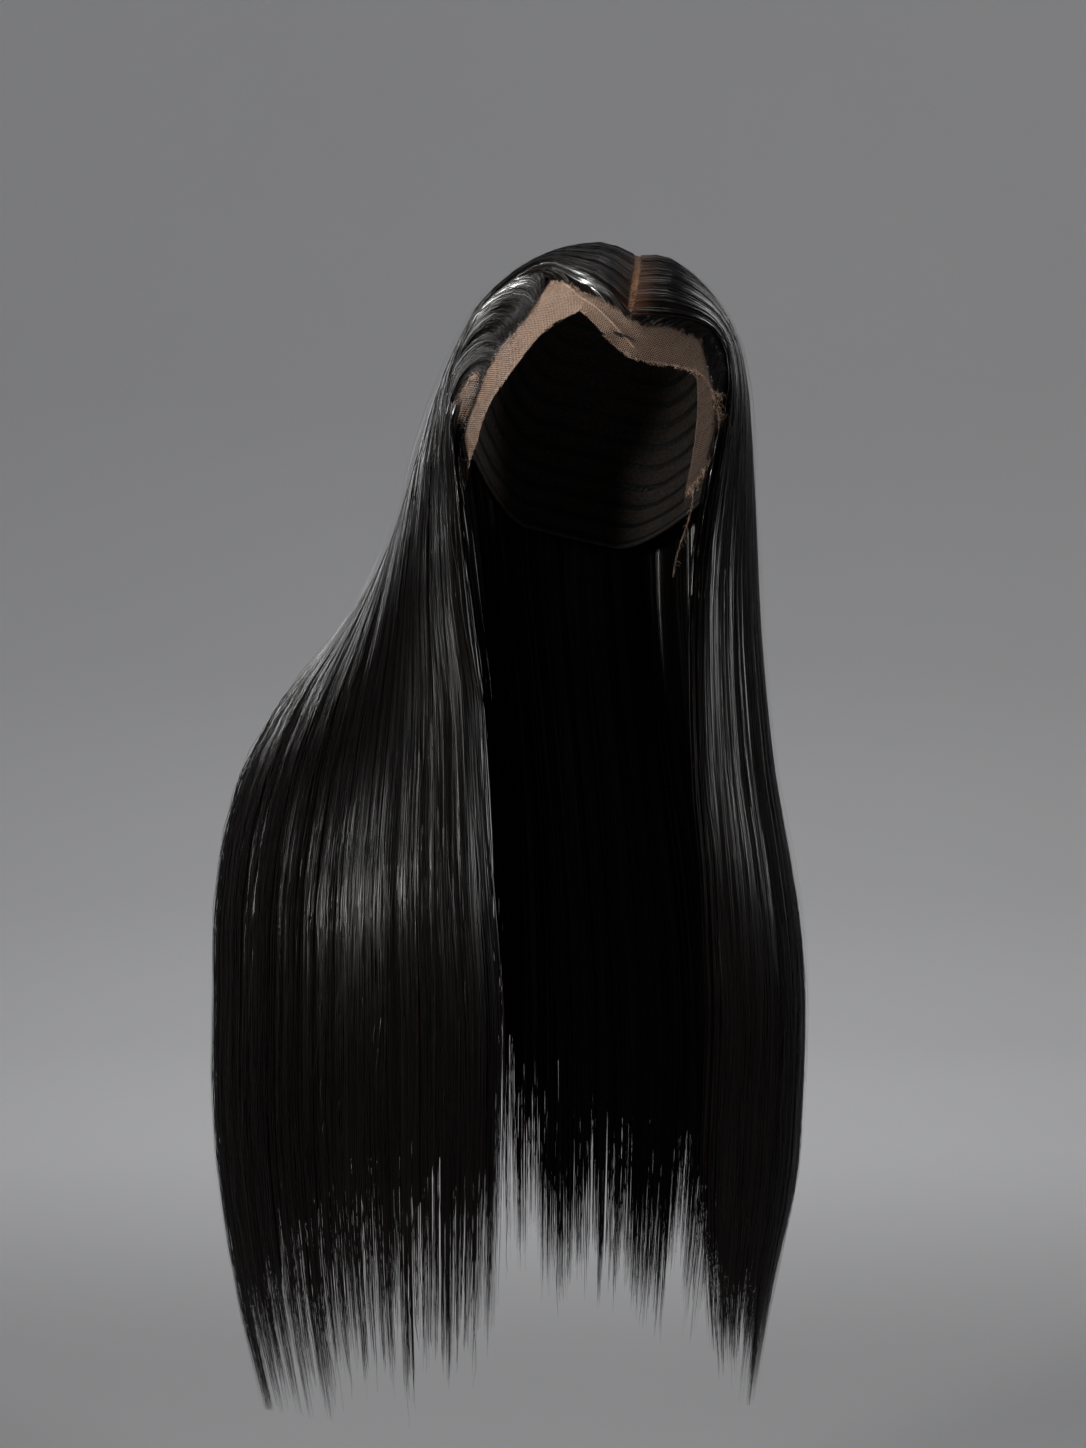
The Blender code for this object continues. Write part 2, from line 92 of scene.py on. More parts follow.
# Closed body under the single hairs: how deep it lies, more at its front and back edge, its
# ridges, its thickness on the cap and at its lower end, and the teeth that it ends in
BODY_DEPTH = 0.0013
BODY_EDGE_DEPTH = 0.0024
BODY_RIDGE = 0.0003
BODY_THICK = 0.0050
BODY_THIN = 0.0018
BODY_TOOTH = 0.045

# Single hairs of the falls: depth of the inner ones, depth behind a sheet's edges, how far the
# front ones come loose and how far a root reaches back
INNER_DEPTH = 0.0058
EDGE_DEPTH = 0.0050
FRONT_LOOSE = 0.034
ROOT_REACH = 0.0018

# Width of a sheet of hair, of a temple's hair and of the cap on their flat maps
SHEET_MAP_WIDTH = 0.16
TEMPLE_MAP = (0.12, 0.02)
CAP_MAP_WIDTH = 0.30

# Grids of the sheets: columns, rows
BODY_GRID = (100, 48)
TEMPLE_GRID = (90, 20)
CAP_GRID = (90, 72)
LACE_GRID = (150, 46)
PART_GRID = (8, 90)

# Edge of the cap at its sides and at the nape, top of cap and lace, all elevations in degrees,
# and height and width of the bound edge
CAP_SIDE_EDGE = -10.0
CAP_NAPE_EDGE = -37.0
NET_TOP = 89.0
BINDING_HEIGHT = 0.0007
BINDING_WIDTH = 0.0045
WEFT_HEIGHT = 0.0009

# Long pulled thread: azimuth and elevation of its upper end, how far it drifts and drops
PULLED_THREAD_TOP = (51.0, -13.5)
PULLED_THREAD_REACH = (-0.011, -0.004, -0.052)

# Crease of the lace, from its lower end to the hairline: azimuth, elevation
CREASE_PATH = np.array((
    (7.9, 22.4),
    (1.6, 26.6),
    (-4.1, 30.3),
    (-12.0, 34.0),
    (-21.3, 37.6),
    (-33.0, 42.0),
    (-43.0, 46.0),
))

# How finely the sheets of hair are divided
CROWN_ROWS = 16
FALL_ROWS = 64
SHARE_STEPS = 64
STRAND_STEPS = 26
BEND_ROW = 54.0
CROWN_TRAVEL = 0.48
TIP_TRAVEL = 0.80
JOIN_PASSES = 8
NOISE_VALUES = 4096

# Photograph: picture size, scale at the cap's middle and where that middle lies in it
PHOTO_WIDTH = 1086
PHOTO_HEIGHT = 1448
METRES_PER_PIXEL = 0.00058
HEAD_PIXEL = (596.0, 428.6)
CAMERA_DISTANCE = 2.0
SENSOR = 36.0

# Lights round the wig: azimuth, elevation, distance, width, height, power, spread
ROUND_LIGHTS = {
    "key": (-38.0, 6.5, 2.5, 0.34, 0.34, 3.0, 70.0),
    "fill": (46.0, 6.0, 2.2, 0.26, 0.45, 1.4, 60.0),
    "sheen": (-52.0, 18.0, 2.2, 0.20, 0.30, 0.70, 60.0),
    "crown": (-74.0, 27.0, 1.9, 0.20, 0.20, 0.45, 9.0),
    "rim_right": (140.0, 25.0, 2.1, 0.30, 1.00, 0.50, 50.0),
    "rim_left": (-140.0, 25.0, 2.1, 0.30, 1.00, 0.80, 50.0),
}
WIG_MIDDLE = (-0.05, 0.0, -0.10)
CROWN_MIDDLE = (-0.01, -0.07, 0.12)
KEY_COLOUR = (1.0, 0.98, 0.95)
SKY_COLOUR = (0.92, 0.95, 1.0, 1.0)
SKY_STRENGTH = 0.06

# Studio floor that curves up all round: radius and height of its profile, and its drop
FLOOR_PROFILE = (
    (0.0, 0.0), (2.6, 0.0), (3.1, 0.06), (3.5, 0.25), (3.8, 0.62), (3.92, 1.1), (3.95, 4.2),
)
FLOOR_DROP = 0.70
FLOOR_SIDES = 96
FLOOR_COLOUR = (0.60, 0.60, 0.61)

# Free edge of the lace, left to right: azimuth from the front, elevation, share of the lift
LACE_EDGE = np.array((
    (-90.0, -10.0, 0.0),
    (-84.0, -19.0, 0.0),
    (-78.0, -29.0, 0.0),
    (-72.0, -31.0, 0.0),
    (-66.1, -27.6, 0.0),
    (-62.1, -22.2, 0.1),
    (-55.8, -15.9, 0.1),
    (-52.9, -8.1, 0.1),
    (-49.1, -1.8, 0.1),
    (-43.7, 5.0, 0.1),
    (-39.2, 12.4, 0.1),
    (-35.0, 20.5, 0.1),
    (-29.3, 27.1, 0.2),
    (-24.0, 29.6, 0.4),
    (-19.6, 31.6, 0.8),
    (-14.8, 29.6, 1.0),
    (-10.0, 27.2, 1.0),
    (-3.6, 24.4, 1.0),
    (0.7, 21.4, 0.8),
    (6.9, 19.1, 0.6),
    (12.1, 19.4, 0.4),
    (20.0, 20.2, 0.2),
    (28.4, 20.9, 0.1),
    (36.0, 21.0, 0.3),
    (40.0, 18.5, 0.5),
    (42.0, 9.0, 0.4),
    (44.5, -5.0, 0.3),
    (47.0, -14.5, 0.2),
    (52.0, -21.5, 0.1),
    (58.0, -27.0, 0.0),
    (66.0, -31.0, 0.0),
    (74.0, -30.0, 0.0),
    (82.0, -21.0, 0.0),
    (90.0, -10.0, 0.0),
))

# Far side of the net, from right to left: over the right temple hair, under the front hair,
# over the left temple hair
NET_FAR_SIDE = np.array((
    (50.0, -17.0),
    (52.0, -13.5),
    (56.0, -9.0),
    (60.5, -2.6),
    (60.0, 5.6),
    (57.5, 10.0),
    (55.0, 14.0),
    (54.0, 18.0),
    (50.0, 25.0),
    (48.0, 31.0),
    (45.5, 38.0),
    (34.2, 40.0),
    (20.8, 40.0),
    (14.6, 38.5),
    (5.6, 38.0),
    (1.0, 40.0),
    (-6.6, 43.0),
    (-14.1, 45.0),
    (-21.4, 45.5),
    (-31.8, 48.5),
    (-44.3, 50.5),
    (-58.0, 49.0),
    (-54.0, 36.0),
    (-52.0, 29.0),
    (-54.5, 23.0),
    (-58.5, 16.5),
    (-61.5, 9.0),
    (-65.5, 4.5),
    (-71.0, -3.0),
    (-76.5, -10.0),
    (-80.0, -15.0),
    (-83.0, -20.0),
    (-80.0, -27.0),
    (-77.0, -29.5),
    (-72.0, -31.0),
))

# How far each fringe goes along the front hairline: azimuths of its two ends
FRINGE_SPANS = {"left": (-54.0, 4.5), "right": (4.0, 46.0)}

# Front hairline from the left corner to the right one
FRONT_HAIRLINE = np.array((
    (-55.5, 45.9),
    (-44.3, 46.2),
    (-31.8, 43.6),
    (-21.4, 40.7),
    (-14.1, 40.3),
    (-6.6, 38.3),
    (1.0, 35.3),
    (5.6, 32.9),
    (14.6, 33.1),
    (20.8, 35.3),
    (34.2, 35.0),
    (42.9, 34.5),
))

# Temple hairlines, from the upper corner down to the ear tab
LEFT_HAIRLINE = (
    (-51.0, 42.0),
    (-47.5, 33.0),
    (-47.0, 27.0),
    (-50.0, 21.5),
    (-54.5, 15.5),
    (-57.5, 8.0),
    (-60.5, -1.5),
    (-66.0, -10.0),
    (-74.0, -21.0),
)
RIGHT_HAIRLINE = (
    (45.5, 31.5),
    (46.5, 27.0),
    (49.0, 21.5),
    (53.0, 15.0),
    (54.7, 6.8),
    (56.8, -1.0),
    (58.5, -9.0),
    (62.0, -17.0),
)

# Front edge of the top hair between the part and the side of the cap
LEFT_SWEEP = (
    (-14.0, 41.0),
    (-32.0, 44.5),
    (-50.0, 48.0),
    (-63.0, 46.0),
    (-71.0, 37.0),
    (-75.5, 26.0),
    (-77.8, 13.0),
)
RIGHT_SWEEP = (
    (15.0, 36.0),
    (25.0, 37.5),
    (36.0, 38.5),
    (45.0, 38.5),
    (52.5, 36.5),
    (58.0, 31.5),
    (60.0, 24.5),
)

# Sections of each fall: drop, then x and y of the front edge, the middle and the back edge,
# then spread, all as shares of the named sizes that the frame's solids follow
LEFT_FALL = np.array((
    (-0.040, 1.010, -0.21, 1.060, 0.05, 0.980, 0.42, 0.00),
    (0.020, 0.980, -0.40, 1.130, -0.08, 0.980, 0.40, 0.08),
    (0.085, 0.940, -0.55, 1.157, -0.21, 0.980, 0.32, 0.17),
    (0.147, 0.907, -0.64, 1.150, -0.32, 0.980, 0.23, 0.32),
    (0.210, 0.870, -0.71, 1.120, -0.43, 0.980, 0.11, 0.49),
    (0.268, 0.800, -0.755, 1.070, -0.55, 0.980, 0.00, 0.70),
    (0.354, 0.767, -0.82, 1.035, -0.72, 0.980, -0.13, 0.90),
    (0.468, 0.720, -0.87, 1.050, -0.87, 0.980, -0.245, 1.00),
    (0.590, 0.660, -0.87, 1.050, -0.905, 0.980, -0.30, 1.01),
    (0.714, 0.660, -0.85, 1.050, -0.89, 0.980, -0.32, 1.01),
    (0.882, 0.686, -0.82, 1.055, -0.85, 0.980, -0.36, 0.91),
    (1.000, 0.720, -0.80, 1.055, -0.83, 0.980, -0.415, 0.79),
))
RIGHT_FALL = np.array((
    (-0.027, 0.860, -0.49, 1.023, -0.075, 0.930, 0.396, 0.00),
    (0.054, 0.767, -0.585, 1.035, -0.17, 0.977, 0.38, 0.00),
    (0.136, 0.674, -0.62, 1.046, -0.226, 0.977, 0.37, 0.00),
    (0.220, 0.650, -0.62, 1.046, -0.264, 0.977, 0.36, 0.05),
    (0.364, 0.674, -0.62, 1.046, -0.30, 0.977, 0.35, 0.30),
    (0.436, 0.720, -0.62, 1.046, -0.32, 0.977, 0.35, 0.53),
    (0.509, 0.744, -0.60, 1.046, -0.34, 0.977, 0.35, 0.73),
    (0.590, 0.767, -0.585, 1.046, -0.34, 0.977, 0.35, 0.82),
    (0.695, 0.744, -0.547, 1.046, -0.32, 0.977, 0.35, 0.77),
    (0.779, 0.730, -0.51, 1.046, -0.30, 0.977, 0.35, 0.65),
    (0.882, 0.744, -0.47, 1.046, -0.264, 0.977, 0.35, 0.27),
    (1.000, 0.790, -0.43, 1.046, -0.245, 0.977, 0.35, -0.05),
))
BACK_FALL = np.array((
    (-0.040, -0.963, 0.451, 0.070, 1.00, 0.919, 0.431, 0.00),
    (0.020, -0.940, 0.470, 0.047, 1.02, 0.953, 0.425, 0.00),
    (0.089, -0.884, 0.547, 0.047, 1.02, 0.977, 0.420, 0.00),
    (0.179, -0.814, 0.620, 0.070, 1.00, 0.977, 0.415, 0.00),
    (0.268, -0.744, 0.700, 0.116, 1.00, 0.977, 0.415, 0.10),
    (0.357, -0.700, 0.790, 0.163, 1.04, 0.977, 0.415, 0.30),
    (0.464, -0.663, 0.868, 0.210, 1.075, 0.977, 0.415, 0.62),
    (0.589, -0.650, 0.906, 0.256, 1.094, 0.977, 0.415, 0.82),
    (0.714, -0.650, 0.915, 0.280, 1.094, 0.977, 0.415, 0.76),
    (0.839, -0.650, 0.915, 0.280, 1.075, 0.977, 0.415, 0.50),
    (1.000, -0.630, 0.900, 0.270, 1.06, 0.977, 0.415, 0.05),
))


def tilt_matrix():
    turn = HEAD_TILT
    return np.array((
        (math.cos(turn), 0.0, math.sin(turn)),
        (0.0, 1.0, 0.0),
        (-math.sin(turn), 0.0, math.cos(turn)),
    ))


TILT = tilt_matrix()


def smooth(value):
    value = np.clip(value, 0.0, 1.0)
    return value * value * (3.0 - 2.0 * value)


def mix(first, second, share):
    return first + (second - first) * share


def unit(vectors):
    return vectors / np.maximum(np.linalg.norm(vectors, axis=-1, keepdims=True), 1e-9)


def direction(azimuth, elevation):
    """Unit directions in the cap's own frame, azimuth from the front towards +X, in degrees."""
    azimuth = np.radians(azimuth)
    elevation = np.radians(elevation)
    return np.stack((
        np.cos(elevation) * np.sin(azimuth),
        -np.cos(elevation) * np.cos(azimuth),
        np.sin(elevation),
    ), axis=-1)


def on_head(way, rise):
    """Points at a rise above the form inside the cap, in the given directions."""
    skin = way * HEAD_AXES
    length = np.linalg.norm(skin, axis=-1, keepdims=True)
    rise = np.asarray(rise)[..., None] if np.ndim(rise) else rise
    return (skin * (1.0 + rise / length)) @ TILT.T


def above_head(points):
    """Directions from the cap's middle to the points, and their rise above the form inside it."""
    local = points @ TILT
    way = unit(local / HEAD_AXES)
    skin = way * HEAD_AXES
    return way, np.linalg.norm(local, axis=-1) - np.linalg.norm(skin, axis=-1)


def clear_of_head(points, rise):
    way, found = above_head(points)
    return np.where((found < rise)[..., None], on_head(way, rise), points)


def hermite(before, start, end, after, lead, span, tail, share):
    """Smooth value between start and end, with the slopes of their neighbours."""
    start_slope = (end - before) * (span / lead)
    end_slope = (after - start) * (span / tail)
    square = share * share
    cube = square * share
    return (
        start * (2.0 * cube - 3.0 * square + 1.0)
        + start_slope * (cube - 2.0 * square + share)
        + end * (3.0 * square - 2.0 * cube)
        + end_slope * (cube - square)
    )


def neighbours(keys, place):
    index = np.clip(np.searchsorted(keys, place, side="right") - 1, 0, len(keys) - 2)
    before = np.maximum(index - 1, 0)
    after = np.minimum(index + 2, len(keys) - 1)
    span = keys[index + 1] - keys[index]
    lead = keys[index + 1] - keys[before]
    tail = keys[after] - keys[index]
    return index, before, after, lead, span, tail, (place - keys[index]) / span


def along(points, share):
    """Points at shares of a smooth curve through the points, spaced by their distances."""
    points = np.asarray(points)
    steps = np.linalg.norm(np.diff(points, axis=0), axis=1)
    keys = np.concatenate(((0.0,), np.cumsum(steps)))
    place = np.clip(share, 0.0, 1.0) * keys[-1]
    index, before, after, lead, span, tail, part = neighbours(keys, place)
    lead, span, tail, part = (value[..., None] for value in (lead, span, tail, part))
    return hermite(
        points[before], points[index], points[index + 1], points[after], lead, span, tail, part
    )


def read_rows(rows, column, drop):
    """One column of a table of sections at any drops."""
    keys = rows[:, 0]
    values = rows[:, column]
    index, before, after, lead, span, tail, part = neighbours(keys, drop)
    part = np.clip(part, 0.0, 1.0)
    return hermite(
        values[before], values[index], values[index + 1], values[after], lead, span, tail, part
    )


def through_three(first, middle, last, share):
    return (
        first * (1.0 - share) * (1.0 - 2.0 * share)
        + middle * 4.0 * share * (1.0 - share)
        + last * share * (2.0 * share - 1.0)
    )


def value_noise(place, seed):
    """Smooth random value from -1 to 1 along one line."""
    source = np.random.default_rng(seed)
    values = source.uniform(-1.0, 1.0, NOISE_VALUES)
    whole = np.floor(place).astype(int)
    part = smooth(place - whole)
    return mix(values[whole % NOISE_VALUES], values[(whole + 1) % NOISE_VALUES], part)


def lengths_along(lines):
    """Length of each line from its start to each of its points."""
    steps = np.linalg.norm(np.diff(lines, axis=1), axis=-1)
    return np.concatenate((np.zeros((len(lines), 1)), np.cumsum(steps, axis=1)), axis=1)


def grid_shares(columns, rows, first=0.0):
    """Shares across and along a grid, a pair for each of its points."""
    across = np.linspace(first, 1.0, columns + 1)
    return np.meshgrid(across, np.linspace(0.0, 1.0, rows + 1), indexing="ij")


class HairSurface:
    """A lattice of points over a sheet of hair. share runs across it and row down its hairs."""

    def __init__(self, points):
        self.points = points
        facing = unit(np.cross(np.gradient(points, axis=0), np.gradient(points, axis=1)))
        middle = points.copy()
        middle[..., :2] = 0.0
        middle[..., 2] = np.minimum(middle[..., 2], 0.0)
        away = np.sum(facing * (points - middle), axis=-1)
        self.facing = facing * np.where(away < 0.0, -1.0, 1.0)[..., None]
        self.length = lengths_along(points)
        self.last_row = points.shape[1] - 1

    def read(self, field, share, row):
        """The field at shares and rows, in a straight line past the sheet's edges."""
        steps = self.points.shape[0] - 1
        place = share * steps
        column = np.clip(np.floor(place).astype(int), 0, steps - 1)
        over = place - column
        row = np.clip(row, 0.0, self.last_row - 1e-6)
        line = np.floor(row).astype(int)
        down = row - line
        before = np.maximum(line - 1, 0)
        after = np.minimum(line + 2, self.last_row)
        if field.ndim == 3:
            over = over[..., None]
            down = down[..., None]
        first, second = (
            hermite(
                field[side, before], field[side, line], field[side, line + 1], field[side, after],
                2.0, 1.0, 2.0, down,
            )
            for side in (column, column + 1)
        )
        return mix(first, second, over)


class HairSheet:
    """One sheet of hair: its roots, its way over the cap and its free fall."""

    def __init__(self, side, rows, reach, middle_spread, sweep=()):
        self.side = side
        self.rows = rows
        self.reach = reach
        self.middle_spread = middle_spread
        self.sweep = sweep
        self.start = rows[0, 0]
        self.surface = HairSurface(self.lattice())

    def free_points(self, share, drop):
        """Outer side of the free hair at drops below the cap's middle."""
        front_x, front_y, middle_x, middle_y, back_x, back_y, spread = (
            read_rows(self.rows, column, drop) for column in range(1, 8)
        )
        middle = middle_x * HAIR_HALF_WIDTH + spread * self.reach * self.middle_spread
        back = back_x * HAIR_HALF_WIDTH + spread * self.reach
        x = through_three(front_x * HAIR_HALF_WIDTH, middle, back, share) * self.side
        y = through_three(front_y, middle_y, back_y, share) * HAIR_HALF_DEPTH
        return clear_of_head(np.stack((x, y, -drop * HAIR_DROP), axis=-1), CROWN_RISE)

    def roots(self, share):
        if self.sweep:
            angle = mix(PART_FRONT, PART_BACK, share)
            shift = PART_SHIFT * np.clip(np.cos(angle) / math.cos(PART_FRONT), 0.0, 1.0)
            across = (shift + self.side * (PART_WIDTH / 2.0 + ROOT_ROOM)) / HEAD_AXES[0]
        else:
            turn = np.radians(mix(-120.0, 120.0, share))
            angle = PART_BACK + WHORL_RADIUS * 1.6 + WHORL_RADIUS * np.cos(turn)
            across = np.sin(turn) * math.sin(WHORL_RADIUS)
        return unit(np.stack((across, -np.cos(angle), np.sin(angle)), axis=-1))

    def edge_ways(self, travel, last):
        """Directions along the front edge, or the back edge, at shares of the way down."""
        share = np.array((1.0 if last else 0.0,))
        end = above_head(self.free_points(share, np.array((self.start,))))[0]
        root = self.roots(share)
        if self.sweep and not last:
            table = np.array(self.sweep)
            middle = direction(table[:, 0], table[:, 1])
            return unit(along(np.concatenate((root, middle, end)), travel))
        angle = math.acos(float(np.clip(np.sum(root * end), -1.0, 1.0)))
        first = np.sin((1.0 - travel) * angle)[:, None]
        second = np.sin(travel * angle)[:, None]
        return (root * first + end * second) / math.sin(angle)

    def crown_points(self, share, travel):
        """Points over the cap for each share and travel, blended from the sheet's four borders."""
        drop = np.full(len(share), self.start)
        ends, leaving = above_head(self.free_points(share, drop))
        roots = self.roots(share)
        front = self.edge_ways(travel, False)[None]
        back = self.edge_ways(travel, True)[None]
        share = share[:, None, None]
        travel = travel[None, :, None]
        roots = roots[:, None] - mix(roots[0], roots[-1], share)
        far = ends[:, None] - mix(ends[0], ends[-1], share)
        way = unit(mix(front, back, share) + roots * (1.0 - travel) + far * travel)
        share = share[..., 0]
        travel = travel[..., 0]
        full = mix(CROWN_RISE, leaving[:, None], smooth(travel))
        low = HAIR_BASE + HAIRLINE_HAIR
        rise = mix(low, full, smooth(travel / 0.16))
        if self.sweep:
            edge = smooth(0.35 + share / 0.12) * (1.0 - smooth(travel)) + smooth(travel)
            rise = mix(low, rise, edge)
        return on_head(way, rise)

    def lattice(self):
        """Points of the whole sheet, with the step from cap to free hair smoothed."""
        share = np.linspace(0.0, 1.0, SHARE_STEPS + 1)
        crown = self.crown_points(share, np.linspace(0.0, 1.0, CROWN_ROWS + 1))
        drop = np.linspace(self.start, 1.0, FALL_ROWS + 1)[1:]
        grid_share, grid_drop = np.meshgrid(share, drop, indexing="ij")
        fall = self.free_points(grid_share.ravel(), grid_drop.ravel())
        points = np.concatenate((crown, fall.reshape(len(share), FALL_ROWS, 3)), axis=1)
        for _ in range(JOIN_PASSES):
            near = slice(CROWN_ROWS - 3, CROWN_ROWS + 5)
            above = points[:, CROWN_ROWS - 4:CROWN_ROWS + 4]
            below = points[:, CROWN_ROWS - 2:CROWN_ROWS + 6]
            points[:, near] = 0.5 * points[:, near] + 0.25 * (above + below)
        return points

    def row_of(self, drop):
        """Row of the lattice at a drop, as a share of HAIR_DROP."""
        return CROWN_ROWS + (drop - self.start) / (1.0 - self.start) * FALL_ROWS


def mesh_from_arrays(name, points, quads, flat_map, finish):
    """An object from arrays of points and quads, with one place on the flat map for each point."""
    mesh = bpy.data.meshes.new(name)
    mesh.vertices.add(len(points))
    mesh.vertices.foreach_set("co", np.ascontiguousarray(points, dtype=np.float32).ravel())
    mesh.loops.add(quads.size)
    mesh.loops.foreach_set("vertex_index", quads.ravel().astype(np.int32))
    mesh.polygons.add(len(quads))
    mesh.polygons.foreach_set("loop_start", np.arange(0, quads.size, 4, dtype=np.int32))
    mesh.polygons.foreach_set("loop_total", np.full(len(quads), 4, dtype=np.int32))
    mesh.update(calc_edges=True)
    layer = mesh.uv_layers.new(name="map")
    layer.data.foreach_set("uv", flat_map[quads.ravel()].astype(np.float32).ravel())
    mesh.validate()
    mesh.shade_smooth()
    mesh.materials.append(finish)
    piece = bpy.data.objects.new(name, mesh)
    bpy.context.scene.collection.objects.link(piece)
    return piece


def grid_quads(columns, rows):
    column, row = np.meshgrid(np.arange(columns), np.arange(rows), indexing="ij")
    first = (column * (rows + 1) + row).ravel()
    return np.stack((first, first + rows + 1, first + rows + 2, first + 1), axis=-1)


def slab_quads(columns, rows):
    """Quads of a closed slab whose two grids follow each other in the list of points."""
    outer = grid_quads(columns, rows)
    count = (columns + 1) * (rows + 1)
    inner = outer[:, ::-1] + count
    top = [column * (rows + 1) for column in range(columns + 1)]
    right = [columns * (rows + 1) + row for row in range(rows + 1)]
    bottom = [column * (rows + 1) + rows for column in range(columns, -1, -1)]
    left = list(range(rows, -1, -1))
    around = np.array(top[:-1] + right[:-1] + bottom[:-1] + left[:-1])
    following = np.roll(around, -1)
    rim = np.stack((around, around + count, following + count, following), axis=-1)
    return np.concatenate((outer, inner, rim))


def ribbons(centre, across, width, places):
    """Points, quads and flat map of flat hairs, from their middle lines."""
    strands, steps = centre.shape[:2]
    half = across * width[..., None] / 2.0
    points = np.stack((centre - half, centre + half), axis=2).reshape(-1, 3)
    strand, step = np.meshgrid(np.arange(strands), np.arange(steps - 1), indexing="ij")
    first = ((strand * steps + step) * 2).ravel()
    quads = np.stack((first, first + 1, first + 3, first + 2), axis=-1)
    flat = np.repeat(places, 2, axis=1).reshape(-1, 2)
    return points, quads, flat


def tubes(centre, width, sides=3):
    """Points, quads and flat map of thin round threads, from their middle lines."""
    strands, steps = centre.shape[:2]
    ahead = unit(np.gradient(centre, axis=1))
    guide = np.where(np.abs(ahead[..., 2:3]) > 0.9, (1.0, 0.0, 0.0), (0.0, 0.0, 1.0))
    first_side = unit(np.cross(ahead, guide))
    second_side = np.cross(ahead, first_side)
    rings = []
    for turn in np.arange(sides) * (2.0 * math.pi / sides):
        rings.append(centre + (first_side * math.cos(turn) + second_side * math.sin(turn)) * width / 2.0)
    points = np.stack(rings, axis=2).reshape(-1, 3)
    strand, step, side = np.meshgrid(
        np.arange(strands), np.arange(steps - 1), np.arange(sides), indexing="ij"
    )
    base = (strand * steps + step) * sides
    first = (base + side).ravel()
    second = (base + (side + 1) % sides).ravel()
    quads = np.stack((first, second, second + sides, first + sides), axis=-1)
    return points, quads, points[:, :2].copy()


def lock_middles(count, seed):
    """Middles of locks across a sheet, how hard each gathers and how much shorter it is."""
    source = np.random.default_rng(seed)
    middles = np.sort(source.uniform(-0.04, 1.04, count))
    return middles, source.uniform(0.35, 1.0, count), source.uniform(0.0, 1.0, count)


def nearest_lock(share, middles):
    index = np.clip(np.searchsorted(middles, share), 1, len(middles) - 1)
    before = middles[index - 1]
    after = middles[index]
    index = np.where(share - before < after - share, index - 1, index)
    return index, middles[index] - share


def hair_body(name, sheet, ends, locks, finish):
    """The closed sheet of hair under the single hairs, ending in pointed locks."""
    surface = sheet.surface
    columns, rows = BODY_GRID
    share, travel = grid_shares(columns, rows)
    middles, _, shorter = locks
    index, gap = nearest_lock(share, middles)
    end = through_three(*ends, share)
    tooth = value_noise(share * columns / 2.1, SEED + 6)
    end = end - 0.4 * np.minimum(np.abs(gap), 0.020) - 0.020 * shorter[index] + BODY_TOOTH * tooth
    row = travel ** 1.35 * sheet.row_of(end)
    crown = 1.0 - smooth((row - CROWN_ROWS + 2.0) / 5.0)
    first = -0.030 if not sheet.sweep else 0.0
    spread_share = mix(share, mix(first, 1.030, share), crown)
    centre = surface.read(surface.points, spread_share, row)
    inside = np.clip(spread_share, 0.0, 1.0)
    facing = unit(surface.read(surface.facing, inside, row))
    length = surface.read(surface.length, inside, row)
    free = smooth((row - CROWN_ROWS) / 12.0)
    edge = np.minimum(share, 1.0 - share)
    ridge = value_noise(share * 61.0 + 0.4 * value_noise(length * 9.0, SEED + 1), SEED + 2)
    sunk = BODY_DEPTH + BODY_RIDGE * ridge + BODY_EDGE_DEPTH * (1.0 - smooth(edge * 14.0)) * free
    thick = mix(BODY_THICK, BODY_THIN, smooth(travel))
    depth = sunk + thick * mix(1.0, smooth(edge * 14.0 + 0.25), free)
    outer = clear_of_head(centre - facing * sunk[..., None], HAIR_BASE + 0.0004)
    inner = clear_of_head(centre - facing * depth[..., None], HAIR_BASE)
    points = np.concatenate((outer.reshape(-1, 3), inner.reshape(-1, 3)))
    flat = np.stack((share * SHEET_MAP_WIDTH, length), axis=-1).reshape(-1, 2)
    quads = slab_quads(columns, rows)
    return mesh_from_arrays(name, points, quads, np.concatenate((flat, flat)), finish)


def spaced_rows(first, last, travel):
    """Rows of the points of each hair, closer together over the cap and near the tip."""
    first = first[:, None]
    last = last[:, None]
    bend = np.maximum(first, CROWN_ROWS)
    low = np.clip(BEND_ROW, bend, last)
    crown = mix(first, bend, travel / CROWN_TRAVEL)
    fall = mix(bend, low, (travel - CROWN_TRAVEL) / (TIP_TRAVEL - CROWN_TRAVEL))
    tip = mix(low, last, (travel - TIP_TRAVEL) / (1.0 - TIP_TRAVEL))
    return np.where(travel < CROWN_TRAVEL, crown, np.where(travel < TIP_TRAVEL, fall, tip))


def hair_lines(surface, line, row, lift):
    """Middle lines of hairs over a surface, with the way that the surface faces along them."""
    centre = surface.read(surface.points, line, row)
    facing = unit(surface.read(surface.facing, np.clip(line, 0.0, 1.0), row))
    return centre + facing * lift[..., None], facing


